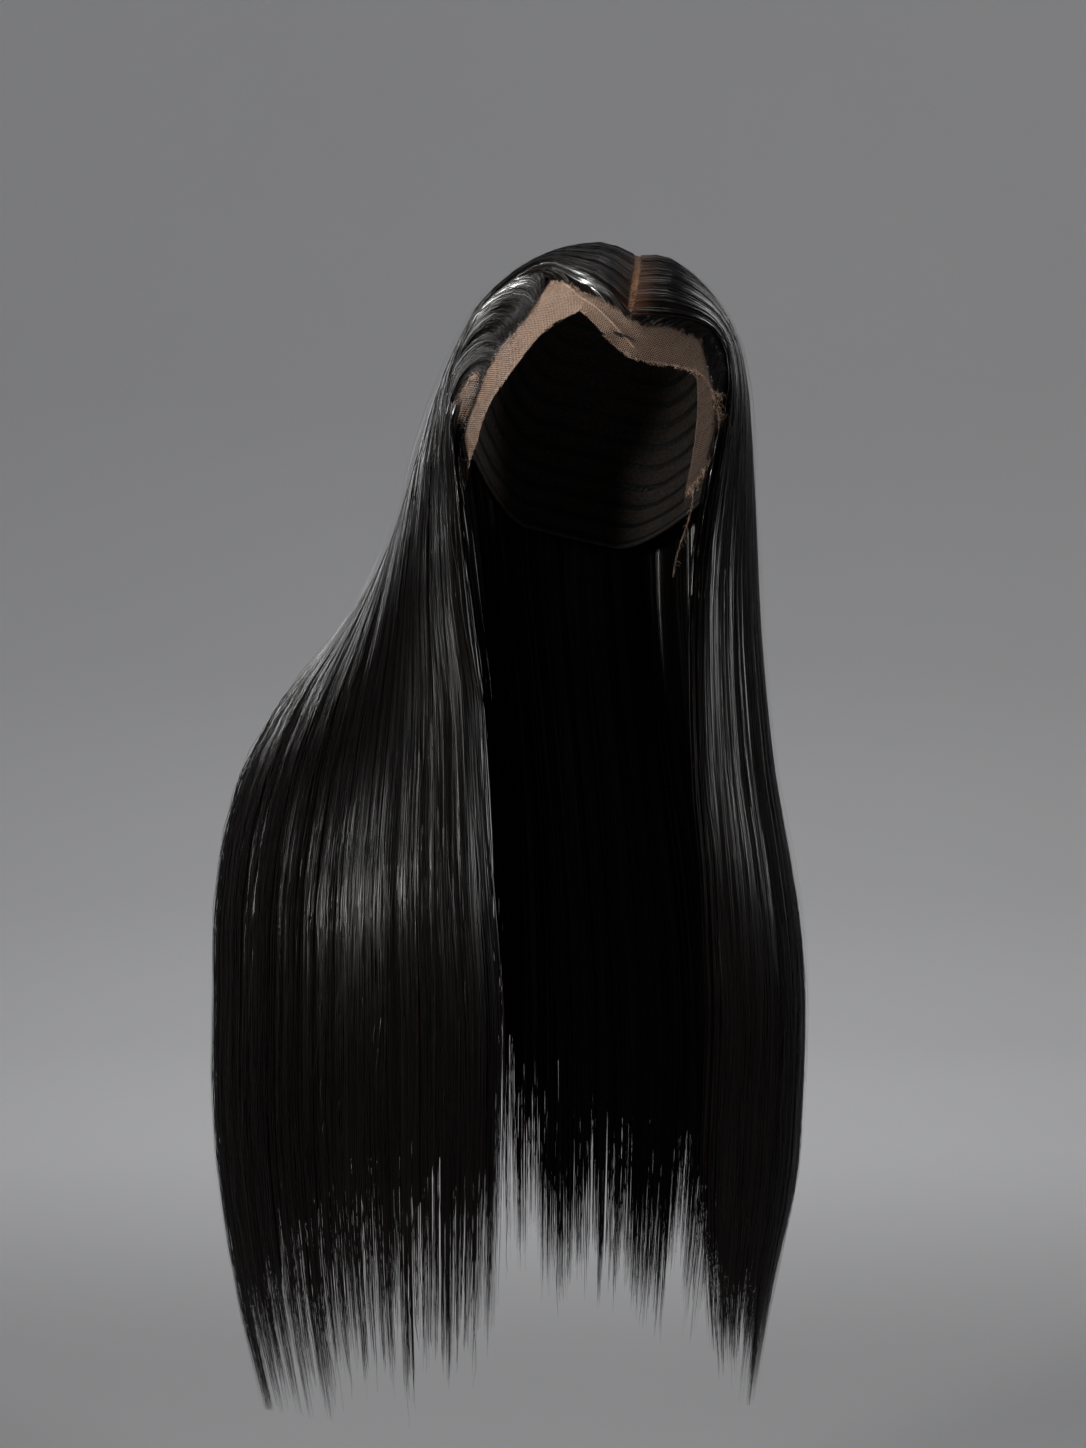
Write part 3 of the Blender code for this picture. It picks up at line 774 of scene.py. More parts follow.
def hair_ribbons(name, centre, facing, own, width, source, finish, roll=0.45, locks=150.0, tip=0.55):
    """Flat hairs that turn with their lock and a little by themselves, thin at root and tip."""
    strands, steps = centre.shape[:2]
    ahead = unit(np.gradient(centre, axis=1))
    across = unit(np.cross(ahead, facing))
    length = lengths_along(centre)
    bend = 0.5 * value_noise(length * 7.0 + 90.0, SEED + 5)
    lock = value_noise(own[:, None] * locks + bend, SEED + 3)
    lock = lock + 0.6 * value_noise(own[:, None] * locks * 0.27 + bend, SEED + 4)
    turn = roll * (0.8 * lock + 0.4 * source.uniform(-1.0, 1.0, (strands, 1)))[..., None]
    side = across * np.cos(turn) + np.cross(ahead, across) * np.sin(turn)
    travel = np.linspace(0.0, 1.0, steps)[None]
    taper = mix(0.55, 1.0, smooth(travel * 9.0)) * mix(1.0, tip, smooth((travel - 0.70) / 0.30))
    taper = taper * mix(1.0, 0.25, smooth((travel - 0.90) / 0.10))
    thick = width * source.uniform(0.7, 1.3, (strands, 1)) * taper
    length = length + source.uniform(0.0, 0.004, (strands, 1))
    own = own * SHEET_MAP_WIDTH + source.uniform(-0.004, 0.004, strands)
    places = np.stack((np.repeat(own[:, None], steps, axis=1), length), axis=-1)
    points, quads, flat = ribbons(centre, side, thick, places)
    return mesh_from_arrays(name, points, quads, flat, finish)


class Value:
    """A number socket that takes part in arithmetic by adding Math nodes."""

    def __init__(self, maker, socket):
        self.maker = maker
        self.socket = socket

    def joined(self, operation, first, second):
        node = self.maker.node("ShaderNodeMath", {"operation": operation}, {0: first, 1: second})
        return Value(self.maker, node.outputs[0])

    def __add__(self, other):
        return self.joined("ADD", self, other)

    def __radd__(self, other):
        return self.joined("ADD", other, self)

    def __sub__(self, other):
        return self.joined("SUBTRACT", self, other)

    def __rsub__(self, other):
        return self.joined("SUBTRACT", other, self)

    def __mul__(self, other):
        return self.joined("MULTIPLY", self, other)

    def __rmul__(self, other):
        return self.joined("MULTIPLY", other, self)


class Finish:
    """A material on the Principled shader, built from nodes."""

    def __init__(self, name, settings):
        self.material = bpy.data.materials.new(name)
        self.material.use_nodes = True
        self.tree = self.material.node_tree
        self.shader = self.tree.nodes["Principled BSDF"]
        for socket, value in settings.items():
            self.shader.inputs[socket].default_value = value

    def feed(self, socket, value):
        if isinstance(value, Value):
            value = value.socket
        if isinstance(value, bpy.types.NodeSocket):
            self.tree.links.new(value, socket)
        else:
            socket.default_value = value

    def node(self, kind, settings=None, sockets=None):
        """A node of a kind, with its settings first and then its sockets' values or links."""
        node = self.tree.nodes.new(kind)
        for name, value in (settings or {}).items():
            setattr(node, name, value)
        for name, value in (sockets or {}).items():
            self.feed(node.inputs[name], value)
        return node

    def value(self, kind, output, settings=None, sockets=None):
        return Value(self, self.node(kind, settings, sockets).outputs[output])

    def wire(self, socket, value):
        self.feed(self.shader.inputs[socket], value)

    def colours(self, share, first, second):
        """A colour between two, by a share."""
        node = self.node("ShaderNodeMix", {"data_type": "RGBA"}, {0: share, 6: first, 7: second})
        return node.outputs[2]

    def ranged(self, value, low, high, first=0.0, last=1.0):
        """Where the value lies between low and high, as a number from first to last."""
        return self.value("ShaderNodeMapRange", 0, {}, {
            "Value": value, "From Min": low, "From Max": high, "To Min": first, "To Max": last,
        })

    def relief(self, height, strength, distance):
        """Fine relief on the surface, from a height."""
        sockets = {"Strength": strength, "Distance": distance, "Height": height}
        self.wire("Normal", self.node("ShaderNodeBump", {}, sockets).outputs[0])

    def flat_map(self):
        return self.node("ShaderNodeUVMap", {"uv_map": "map"}).outputs[0]

    def down_map(self):
        """Second number of the flat map: length along a hair, or distance from an edge."""
        node = self.node("ShaderNodeSeparateXYZ", {}, {0: self.flat_map()})
        return Value(self, node.outputs[1])

    def in_space(self):
        return self.node("ShaderNodeTexCoord").outputs["Object"]

    def place(self, across, down):
        """Place on the flat map, stretched by numbers across and down the hairs."""
        sockets = {0: self.flat_map(), 1: (across, down, 1.0)}
        return self.node("ShaderNodeVectorMath", {"operation": "MULTIPLY"}, sockets).outputs[0]

    def noise(self, place, scale=1.0, detail=2.0):
        sockets = {"Vector": place, "Scale": scale, "Detail": detail}
        return self.value("ShaderNodeTexNoise", 0, {"noise_dimensions": "3D"}, sockets)

    def cells(self, place, scale):
        return self.value("ShaderNodeTexVoronoi", 0, {}, {"Vector": place, "Scale": scale})


def hair_finish(name, relief, root_tint=0.0):
    """Near-black hair: streaks of brown along the hairs, uneven gloss and a fine relief."""
    finish = Finish(name, {"Anisotropic": 0.5, "Specular IOR Level": 0.24, "IOR": 1.55})
    black = (0.0026, 0.0023, 0.0023, 1.0)
    brown = (0.0120, 0.0064, 0.0046, 1.0)
    root_brown = (0.085, 0.036, 0.016, 1.0)
    fine = finish.noise(finish.place(2600.0, 7.0), detail=3.0)
    broad = finish.noise(finish.place(420.0, 3.0), detail=2.0)
    streak = fine * 0.6 + broad * 0.4
    grown = finish.down_map()
    ends = finish.ranged(grown, 0.20, 0.70, 0.0, 0.12)
    share = finish.ranged(streak + ends, 0.44, 0.80)
    root = finish.ranged(grown, 0.001, 0.014, 1.0, 0.0)
    hair = finish.colours(share, black, brown)
    finish.wire("Base Color", finish.colours(root * fine * root_tint, hair, root_brown))
    finish.wire("Roughness", 0.18 + 0.20 * broad)
    if relief:
        finish.relief(streak, 0.55, 0.0005)
    return finish.material


def fine_hair_finish():
    """Fine hairs at the hairline, thin enough to look brown."""
    finish = Finish("fine_hair", {"Anisotropic": 0.5})
    dark = (0.006, 0.004, 0.003, 1.0)
    brown = (0.030, 0.014, 0.008, 1.0)
    uneven = finish.noise(finish.place(900.0, 30.0))
    finish.wire("Base Color", finish.colours(uneven, dark, brown))
    finish.wire("Roughness", 0.32 + 0.2 * uneven)
    return finish.material


def thread_finish():
    """Tan net thread, a little uneven."""
    finish = Finish("lace_thread", {"Specular IOR Level": 0.35})
    tan = (0.32, 0.20, 0.14, 1.0)
    pale_tan = (0.58, 0.42, 0.32, 1.0)
    spot = finish.noise(finish.in_space(), 240.0, 2.0)
    finish.wire("Base Color", finish.colours(spot, tan, pale_tan))
    finish.wire("Roughness", 0.55 + 0.25 * spot)
    return finish.material


def film_finish():
    """The sheer ground of the lace between its threads, thinned out towards its free edge."""
    finish = Finish("lace_ground", {"Specular IOR Level": 0.25})
    tan = (0.42, 0.23, 0.13, 1.0)
    pale_tan = (0.58, 0.36, 0.23, 1.0)
    place = finish.in_space()
    cloud = finish.noise(place, 60.0, 3.0)
    grain = finish.noise(place, 900.0, 1.0)
    finish.wire("Base Color", finish.colours(cloud, tan, pale_tan))
    finish.wire("Roughness", 0.6 + 0.2 * grain)
    full = finish.ranged(finish.down_map(), 0.0008, 0.0030)
    finish.wire("Alpha", full * (0.01 + 0.06 * grain))
    return finish.material


def part_finish():
    """Tinted lace along the part, with a dark dot at each root."""
    finish = Finish("part_lace", {"Specular IOR Level": 0.3})
    root = (0.025, 0.011, 0.007, 1.0)
    brown = (0.090, 0.036, 0.017, 1.0)
    tan = (0.40, 0.200, 0.100, 1.0)
    place = finish.in_space()
    cloud = finish.noise(place, 140.0, 3.0)
    dots = finish.ranged(finish.cells(place, 620.0), 0.22, 0.42)
    finish.wire("Base Color", finish.colours(dots, root, finish.colours(cloud, brown, tan)))
    finish.wire("Roughness", 0.55 + 0.2 * cloud)
    finish.relief(dots, 0.4, 0.0004)
    return finish.material


def cap_finish():
    """Dark stretch net of the cap with a knitted grain, smoother along the rows of weft."""
    finish = Finish("cap_net", {"Sheen Weight": 0.1, "Specular IOR Level": 0.3})
    black = (0.008, 0.006, 0.005, 1.0)
    dark_brown = (0.020, 0.015, 0.012, 1.0)
    thread = (0.045, 0.034, 0.027, 1.0)
    weft_black = (0.006, 0.005, 0.0045, 1.0)
    place = finish.in_space()
    cells = finish.cells(place, 520.0)
    cloud = finish.noise(place, 40.0, 3.0)
    turn = finish.down_map() * (2.0 * math.pi / WEFT_SPACING)
    wave_height = finish.value("ShaderNodeMath", 0, {"operation": "SINE"}, {0: turn})
    weft = finish.ranged(wave_height, 0.40, 0.65)
    net = finish.colours(cells, finish.colours(cloud, black, dark_brown), thread)
    finish.wire("Base Color", finish.colours(weft, net, weft_black))
    finish.wire("Roughness", 0.75 + 0.2 * cloud - 0.3 * weft)
    finish.relief(cells + weft * 0.6, 0.7, 0.0006)
    return finish.material


def studio_finish(name, colour):
    finish = Finish(name, {"Roughness": 0.9, "Specular IOR Level": 0.1})
    cloud = finish.noise(finish.in_space(), 1.2, 2.0)
    darker = tuple(part * 0.96 for part in colour)
    finish.wire("Base Color", finish.colours(cloud, (*darker, 1.0), (*colour, 1.0)))
    return finish.material


def keep_as_wig(piece, slot, *nodes):
    """The piece belongs to the wig and stands for these solids, which it hides. The slot is not used."""
    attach(piece, "root")
    if nodes:
        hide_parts(*nodes)
    return piece


def crease_rise(way):
    """Height of the crease in the lace: a sharp lip, none away from its path."""
    share = np.linspace(0.0, 1.0, 60)
    flat = along(CREASE_PATH, share)
    path = direction(flat[:, 0], flat[:, 1])
    near = way.reshape(-1, 3) @ path.T
    nearest = np.argmax(near, axis=1)
    aside = np.sqrt(np.maximum(2.0 - 2.0 * near[np.arange(len(near)), nearest], 0.0))
    fade = 1.0 - 0.75 * smooth(share[nearest])
    reach = aside * HEAD_AXES[2] / CREASE_WIDTH
    height = CREASE_HEIGHT * fade * (0.4 * np.exp(-(reach ** 2.0)) + 0.6 * np.exp(-3.2 * reach))
    return height.reshape(way.shape[:-1])


def over_hair_rise(azimuth, elevation):
    """How far the net stands up where it lies over the temple hair."""
    left = np.array(LEFT_HAIRLINE)[::-1]
    right = np.array(RIGHT_HAIRLINE)[::-1]
    past_left = np.maximum(np.interp(elevation, left[:, 1], left[:, 0]) - azimuth, 0.0)
    past_right = np.maximum(azimuth - np.interp(elevation, right[:, 1], right[:, 0]), 0.0)
    low_left = smooth((9.0 - elevation) / 6.0)
    low_right = smooth((22.0 - elevation) / 6.0)
    past = past_left * low_left + past_right * low_right
    lower = smooth((-2.0 - elevation) / 9.0) * smooth(past / 3.5)
    return 0.0034 * smooth(past / 3.5) + 0.0034 * smooth((past - 3.0) / 9.0) + 0.0026 * lower


def lace_points(azimuth, elevation, rise=0.0, over_hair=False):
    """Points on the lace, with its lifted edge and its crease."""
    edge = np.interp(azimuth, LACE_EDGE[:, 0], LACE_EDGE[:, 1])
    lift = np.interp(azimuth, LACE_EDGE[:, 0], LACE_EDGE[:, 2])
    way = direction(azimuth, elevation)
    lifted = lift * LACE_LIFT * (1.0 - smooth((elevation - edge) / 7.0))
    if over_hair:
        lifted = lifted + over_hair_rise(azimuth, elevation)
    return on_head(way, NET_WALL * 0.6 + rise + lifted + crease_rise(way))


def make_lace(finishes):
    """Sheer ground from the crown to the free edge, the hexagonal net before the hairline, frays."""
    columns, rows = LACE_GRID
    share = np.linspace(0.0, 1.0, columns + 1)
    azimuth = np.interp(share, np.linspace(0.0, 1.0, len(LACE_EDGE)), LACE_EDGE[:, 0])
    edge = np.interp(azimuth, LACE_EDGE[:, 0], LACE_EDGE[:, 1])
    up = np.linspace(0.0, 1.0, rows + 1)[None] ** 1.3
    elevation = mix(edge[:, None], NET_TOP, up)
    azimuth = np.repeat(azimuth[:, None], rows + 1, axis=1)
    points = lace_points(azimuth, elevation).reshape(-1, 3)
    inward = (elevation - edge[:, None]) * math.radians(HEAD_AXES[2])
    flat = np.stack((azimuth * math.radians(HEAD_AXES[1]), inward), axis=-1).reshape(-1, 2)
    quads = grid_quads(columns, rows)
    ground = mesh_from_arrays("lace_ground", points, quads, flat, finishes["film"])
    net = make_net(finishes["thread"])
    frays = make_frays(finishes["thread"])
    keep_as_wig(ground, "lace", "lace_front")
    keep_as_wig(net, "lace")
    keep_as_wig(frays, "lace")


def inside_outline(outline, points):
    """Which of the flat points lie inside the closed outline."""
    inside = np.zeros(len(points), dtype=bool)
    for first, second in zip(outline, np.roll(outline, -1, axis=0)):
        crosses = (first[1] > points[:, 1]) != (second[1] > points[:, 1])
        rise = second[1] - first[1]
        rise = rise if abs(rise) > 1e-9 else 1e-9
        limit = first[0] + (points[:, 1] - first[1]) / rise * (second[0] - first[0])
        inside ^= crosses & (points[:, 0] < limit)
    return inside


def make_net(finish):
    """Hexagonal cells of thread between the free edge and the hair."""
    step_x = math.degrees(NET_CELL / HEAD_AXES[1]) / math.cos(math.radians(24.0))
    step_y = math.degrees(NET_CELL / HEAD_AXES[2]) * math.sqrt(3.0) / 2.0
    across, up = np.meshgrid(
        np.arange(-86.0, 70.0, step_x), np.arange(-33.0, 53.0, step_y), indexing="ij"
    )
    odd = (np.round((up + 33.0) / step_y) % 2).astype(bool)
    centre_x = across + np.where(odd, step_x / 2.0, 0.0)
    corner = step_y * 2.0 / 3.0
    side_x = step_x / 2.0
    upper = np.stack((centre_x, up + corner), axis=-1)
    upper_right = np.stack((centre_x + side_x, up + corner / 2.0), axis=-1)
    lower_right = np.stack((centre_x + side_x, up - corner / 2.0), axis=-1)
    lower = np.stack((centre_x, up - corner), axis=-1)
    threads = np.concatenate([
        np.stack(pair, axis=-2).reshape(-1, 2, 2)
        for pair in ((upper, upper_right), (upper_right, lower_right), (lower_right, lower))
    ])
    near = (LACE_EDGE[:, 0] > -67.0) & (LACE_EDGE[:, 0] < 53.0)
    outline = np.concatenate((LACE_EDGE[near, :2], NET_FAR_SIDE))
    threads = threads[inside_outline(outline, threads.mean(axis=1))]
    centre = lace_points(threads[..., 0], threads[..., 1], 0.0002, True)
    ahead = unit(centre[:, 1:] - centre[:, :1])
    across = np.repeat(unit(np.cross(ahead, centre[:, :1])), 2, axis=1)
    width = np.full(centre.shape[:2], NET_THREAD)
    points, quads, flat = ribbons(centre, across, width, centre[..., :2])
    return mesh_from_arrays("lace_net", points, quads, flat, finish)


# Where loose threads stand on the edges of the net: path, how many, their length, sideways way
FRAY_SPANS = (
    (((-64.0, -24.5), (-55.8, -15.9), (-49.1, -1.8), (-39.2, 12.4)), 90, 0.0018, 0.0),
    (((-35.0, 20.5), (-24.0, 29.6), (-19.6, 31.6)), 40, 0.0012, 0.0),
    (((-10.0, 27.2), (0.7, 21.4), (12.1, 19.4), (28.4, 20.9), (38.0, 20.9)), 190, 0.0020, 0.0),
    (((54.0, 17.5), (57.5, 10.0), (60.0, 5.6), (60.5, -2.6), (56.0, -9.0)), 260, 0.0036, 1.0),
    (((59.0, -4.0), (54.0, -12.0), (50.0, -17.0)), 90, 0.0046, 0.5),
    (((-62.0, 8.0), (-71.0, -3.0), (-76.5, -10.0), (-80.0, -15.0), (-83.0, -20.0)), 170, 0.0032, -1.0),
)


def make_frays(finish):
    """Loose thread ends along the edges of the net, long and curled over the temple hair."""
    source = np.random.default_rng(SEED + 11)
    travel = np.linspace(0.0, 1.0, 8)[None, :, None]
    lines = []
    for path, count, reach, sideways in FRAY_SPANS:
        flat = along(np.array(path), source.uniform(0.0, 1.0, count))
        azimuth = flat[:, 0] - sideways * source.uniform(0.0, 4.0, count)
        elevation = flat[:, 1] + source.uniform(0.0, 1.0, count)
        start = lace_points(azimuth, elevation, 0.0003, True)
        aside = unit(lace_points(azimuth + 1.0, elevation, 0.0003, True) - start)
        down = unit(lace_points(azimuth, elevation - 1.0, 0.0003, True) - start)
        out = unit(np.cross(aside, down))
        out = out * np.where(np.sum(out * start, axis=-1) < 0.0, -1.0, 1.0)[:, None]
        fall = source.uniform(0.2, 1.0, (count, 1)) * (1.0 - 0.6 * abs(sideways))
        drift = sideways * source.uniform(0.4, 1.2, (count, 1)) + source.normal(0.0, 0.45, (count, 1))
        away = unit(down * fall + aside * drift)
        length = reach * source.uniform(0.25, 1.2, (count, 1, 1))
        curl = source.uniform(1.0, 6.5, (count, 1, 1))
        phase = source.uniform(0.0, 6.3, (count, 1, 1))
        swing = np.sin(phase + curl * travel) - np.sin(phase)
        bow = np.cos(phase + curl * travel) - np.cos(phase)
        line = start[:, None] + away[:, None] * travel * length
        line = line + out[:, None] * (np.abs(bow) * 0.30 + travel * 0.12) * length
        line = line + np.cross(away, out)[:, None] * swing * 0.35 * length
        lines.append(line)
    lines.append(rolled_edge(travel))
    lines.append(crease_threads(source, travel))
    lines.append(hanging_threads(source, travel))
    points, quads, flat = tubes(np.concatenate(lines), FRAY_THREAD)
    return mesh_from_arrays("lace_frays", points, quads, flat, finish)


def rolled_edge(travel):
    """Threads wound round the edge where the lace rolls up at the right temple."""
    path = np.array(((37.0, 21.3), (44.5, 20.4), (48.8, 17.9), (52.5, 14.6), (56.0, 8.0), (57.5, 1.0)))
    turns = 26
    strands = 3
    lines = []
    for strand in range(strands):
        for piece in range(turns):
            share = (piece + travel[0, :, 0]) / turns
            flat = along(path, share)
            angle = share * turns * 2.4 + strand * 2.0 * math.pi / strands
            middle = lace_points(flat[:, 0], flat[:, 1], 0.0012, True)
            up = unit(middle)
            aside = unit(np.cross(np.gradient(middle, axis=0), up))
            radius = 0.0007 * (1.0 - 0.5 * share[:, None])
            lines.append(middle + (up * np.cos(angle)[:, None] + aside * np.sin(angle)[:, None]) * radius)
    return np.array(lines)


def crease_threads(source, travel):
    """Net threads drawn together along the lip of the crease."""
    lines = []
    strands = 3
    pieces = 6
    for _ in range(strands):
        aside = source.uniform(-0.0005, 0.0005)
        height = source.uniform(0.0001, 0.0010)
        phase = source.uniform(0.0, 6.3)
        for piece in range(pieces):
            share = (piece + travel[0, :, 0]) / pieces
            flat = along(CREASE_PATH, share)
            middle = lace_points(flat[:, 0], flat[:, 1], 0.0003 + height * (1.0 - 0.7 * share))
            up = unit(middle)
            side = unit(np.cross(np.gradient(middle, axis=0), up))
            sway = aside + 0.0005 * np.sin(phase + share * 17.0)
            lines.append(middle + side * sway[:, None])
    return np.array(lines)


def pulled_thread(top, share):
    """Points of the long pulled thread at shares of its length, before it sways and twists."""
    across, forward, down = PULLED_THREAD_REACH
    return top + np.stack((across * share ** 1.2, forward * share, down * share), axis=-1)


def hanging_threads(source, travel):
    """A long pulled thread that hangs from the lower end of the right strip, with its own ends."""
    azimuth, elevation = PULLED_THREAD_TOP
    top = lace_points(np.array((azimuth,)), np.array((elevation,)), 0.001)[0]
    strands = 2
    pieces = 12
    loose_ends = 22
    lines = []
    for strand in range(strands):
        for piece in range(pieces):
            share = (piece + travel[0, :, 0]) / pieces
            twist = share * 70.0 + strand * math.pi
            line = pulled_thread(top, share)
            line[:, 0] += 0.0012 * np.sin(share * 6.0) + 0.0004 * np.sin(twist)
            line[:, 1] += 0.0004 * np.cos(twist)
            lines.append(line)
    for _ in range(loose_ends):
        start = pulled_thread(top, source.uniform(0.05, 1.0) ** 0.8)
        way = np.array((
            source.choice((-1.0, 1.0)) * 0.8, source.uniform(-0.5, 0.2), source.uniform(-0.9, 0.5),
        ))
        length = source.uniform(0.0008, 0.0022)
        bend = np.array((0.0, 0.0, -1.0)) * source.uniform(0.0, 0.9)
        lines.append(start + (way * travel[0] + bend * travel[0] ** 2.0) * length)
    return np.array(lines)


def make_cap(finishes):
    """The stretch net of the cap, a closed thin dome with weft rows and a bound edge."""
    columns, rows = CAP_GRID
    share, up = grid_shares(columns, rows)
    azimuth = mix(90.0, 270.0, share)
    around = np.abs(np.where(azimuth > 180.0, azimuth - 360.0, azimuth))
    lowest = mix(CAP_SIDE_EDGE, CAP_NAPE_EDGE, smooth((around - 100.0) / 55.0))
    elevation = mix(lowest, NET_TOP, up)
    way = direction(azimuth, elevation)
    arc = (elevation - lowest) * math.radians(1.0) * HEAD_AXES[2]
    binding = BINDING_HEIGHT * (1.0 - smooth((arc - BINDING_WIDTH) / 0.0012))
    weft = smooth((np.sin(arc / WEFT_SPACING * 2.0 * math.pi) - 0.45) / 0.3) * WEFT_HEIGHT
    weft = weft * smooth((arc - 0.010) / 0.004)
    outer = on_head(way, NET_WALL * 0.8 + binding)
    inner = on_head(way, NET_WALL * 0.3 - binding - weft)
    points = np.concatenate((outer.reshape(-1, 3), inner.reshape(-1, 3)))
    flat = np.stack((share * CAP_MAP_WIDTH, arc), axis=-1).reshape(-1, 2)
    dome = mesh_from_arrays(
        "cap_dome", points, slab_quads(columns, rows), np.concatenate((flat, flat)), finishes["cap"]
    )
    keep_as_wig(dome, "cap_net", "cap")


def make_part(finishes):
    """The strip of tinted lace that shows along the part."""
    columns, rows = PART_GRID
    share, travel = grid_shares(columns, rows, -1.0)
    angle = mix(PART_FRONT - math.radians(1.0), PART_BACK + math.radians(4.0), travel)
    shift = PART_SHIFT * np.clip(np.cos(angle) / math.cos(PART_FRONT), 0.0, 1.0)
    narrow = mix(0.15, 1.0, smooth(travel * 9.0)) * mix(1.0, 0.15, smooth(travel * 4.0 - 3.0))
    across = (shift + share * PART_WIDTH * 1.10 * narrow) / HEAD_AXES[0]
    way = unit(np.stack((across, -np.cos(angle), np.sin(angle)), axis=-1))
    points = on_head(way, HAIR_BASE + 0.0002 - 0.0004 * share ** 2.0).reshape(-1, 3)
    flat = np.stack((share, travel), axis=-1).reshape(-1, 2)
    quads = grid_quads(columns, rows)
    strip = mesh_from_arrays("part_lace", points, quads, flat, finishes["part"])
    keep_as_wig(strip, "lace")


class FallPlan:
    """How the hairs of one sheet end: where, how unevenly and how many stop short.

    Each set of three shares holds for the sheet's front edge, its middle and its back edge.
    """

    def __init__(self, name, sheet, nodes, body_ends, tips, short, spread, inner):
        self.name = name
        self.sheet = sheet
        self.nodes = nodes
        self.body_ends = body_ends
        self.tips = tips
        self.short = short
        self.spread = spread
        self.inner = inner


def fall_plans():
    """Plans of the three falls, each for a fall and the top hair that it comes from."""
    return (
        FallPlan(
            "left", LEFT_SHEET, ("top_hair_left", "side_fall_left"),
            body_ends=(0.77, 0.79, 0.88), tips=(0.930, 0.960, 1.000),
            short=(0.42, 0.50, 0.10), spread=(0.17, 0.20, 0.12), inner=0.12,
        ),
        FallPlan(
            "right", RIGHT_SHEET, ("top_hair_right", "side_fall_right"),
            body_ends=(0.79, 0.84, 0.79), tips=(0.935, 0.985, 0.930),
            short=(0.34, 0.26, 0.34), spread=(0.13, 0.13, 0.13), inner=0.15,
        ),
        FallPlan(
            "back", BACK_SHEET, ("top_hair_back", "back_fall"),
            body_ends=(0.65, 0.77, 0.76), tips=(0.880, 0.945, 0.930),
            short=(0.62, 0.34, 0.34), spread=(0.22, 0.14, 0.14), inner=0.45,
        ),
    )


def tip_rows(plan, share, wide, narrow, source):
    """Last row of each hair, from the sheet's tip line, its locks and its own length."""
    count = len(share)
    inside = np.clip(share, 0.0, 1.0)
    tip = through_three(*plan.tips, inside)
    wide_index, wide_gap = nearest_lock(share, wide[0])
    narrow_index, narrow_gap = nearest_lock(share, narrow[0])
    shorter = 0.060 * wide[2][wide_index] ** 1.5 + 0.040 * narrow[2][narrow_index]
    shorter = shorter + 0.5 * np.abs(wide_gap) + 1.5 * np.abs(narrow_gap)
    own = np.abs(source.normal(0.0, 0.030, count))
    stops = source.uniform(0.0, 1.0, count) < through_three(*plan.short, inside)
    reach = through_three(*plan.spread, inside)
    own = np.where(stops, reach * source.uniform(0.45, 1.3, count), own)
    return plan.sheet.row_of(tip + 0.040 - shorter - own)


def drawn_together(share, row, last_row, wide, narrow, source):
    """Shares of the hairs' points after they gather, some more than others, into locks."""
    line = np.repeat(share[:, None], row.shape[1], axis=1)
    own = source.uniform(0.0, 1.0, len(share)) ** 0.6
    for (middles, pulls, _), strength, span in ((wide, 0.08, 20.0), (narrow, 0.62, 15.0)):
        index, gap = nearest_lock(share, middles)
        drawn = smooth((row - last_row[:, None] + span) / span)
        line = line + (gap * pulls[index] * strength * own)[:, None] * drawn
    slack = value_noise(share[:, None] * 33.0 + row * 0.02, SEED + 90)
    return line + 0.15 / 33.0 * slack * smooth(row / 8.0)


def fall_lift(share, row, under, source):
    """How far the hairs stand off their sheet, with the inner ones and its edges sunk behind it."""
    count = len(share)
    lift = source.uniform(-0.0011, 0.0009, (count, 1))
    lift = lift + 0.00035 * value_noise(share[:, None] * 70.0 + row * 0.03, SEED + 95)
    inner = -INNER_DEPTH - 0.0014 * source.uniform(0.0, 1.0, (count, 1))
    lift = np.where(under[:, None], inner, lift)
    near_edge = 1.0 - smooth(np.minimum(share, 1.0 - share)[:, None] / 0.035)
    behind = near_edge * smooth((row - CROWN_ROWS) / 8.0) * source.uniform(0.0, 1.0, (count, 1))
    lift = lift * (1.0 - behind) - EDGE_DEPTH * behind
    return lift - 0.0010 * (1.0 - smooth(row / 1.2)) * ~under[:, None]


def fall_lines(plan, wide, narrow, source):
    """Middle lines of a fall's hairs, the way that they face and their shares of the sheet."""
    sheet = plan.sheet
    count = FALL_HAIRS[plan.name]
    share = source.uniform(-0.004 if sheet.sweep else -0.030, 1.030, count)
    last_row = tip_rows(plan, share, wide, narrow, source)
    under = source.uniform(0.0, 1.0, count) < plan.inner
    travel = np.linspace(0.0, 1.0, STRAND_STEPS)[None]
    uneven = source.uniform(-0.5, 0.5, (count, 1)) / STRAND_STEPS * np.sin(travel * math.pi)
    row = spaced_rows(np.zeros(count), last_row, travel + uneven)
    hanging = mix(CROWN_ROWS + 2.0, last_row[:, None], travel)
    row = np.where(under[:, None], hanging, row)
    line = drawn_together(share, row, last_row, wide, narrow, source)
    line = line + wave(source, count, travel, 0.0018, 0.0012, 0.8)
    loose = FRONT_LOOSE * source.uniform(0.0, 1.0, (count, 1)) ** 2.0
    loose = loose * (1.0 - smooth(share / 0.07))[:, None]
    line = line - loose * smooth((row - CROWN_ROWS + 3.0) / 6.0)
    lift = fall_lift(share, row, under, source)
    centre, facing = hair_lines(sheet.surface, line, row, lift)
    centre = clear_of_head(centre, HAIR_BASE + 0.0003)
    reach = ROOT_REACH * source.uniform(0.0, 1.0, (count, 1)) ** 3.0
    centre[:, 0] += unit(centre[:, 0] - centre[:, 1]) * reach * ~under[:, None]
    return centre, facing, share


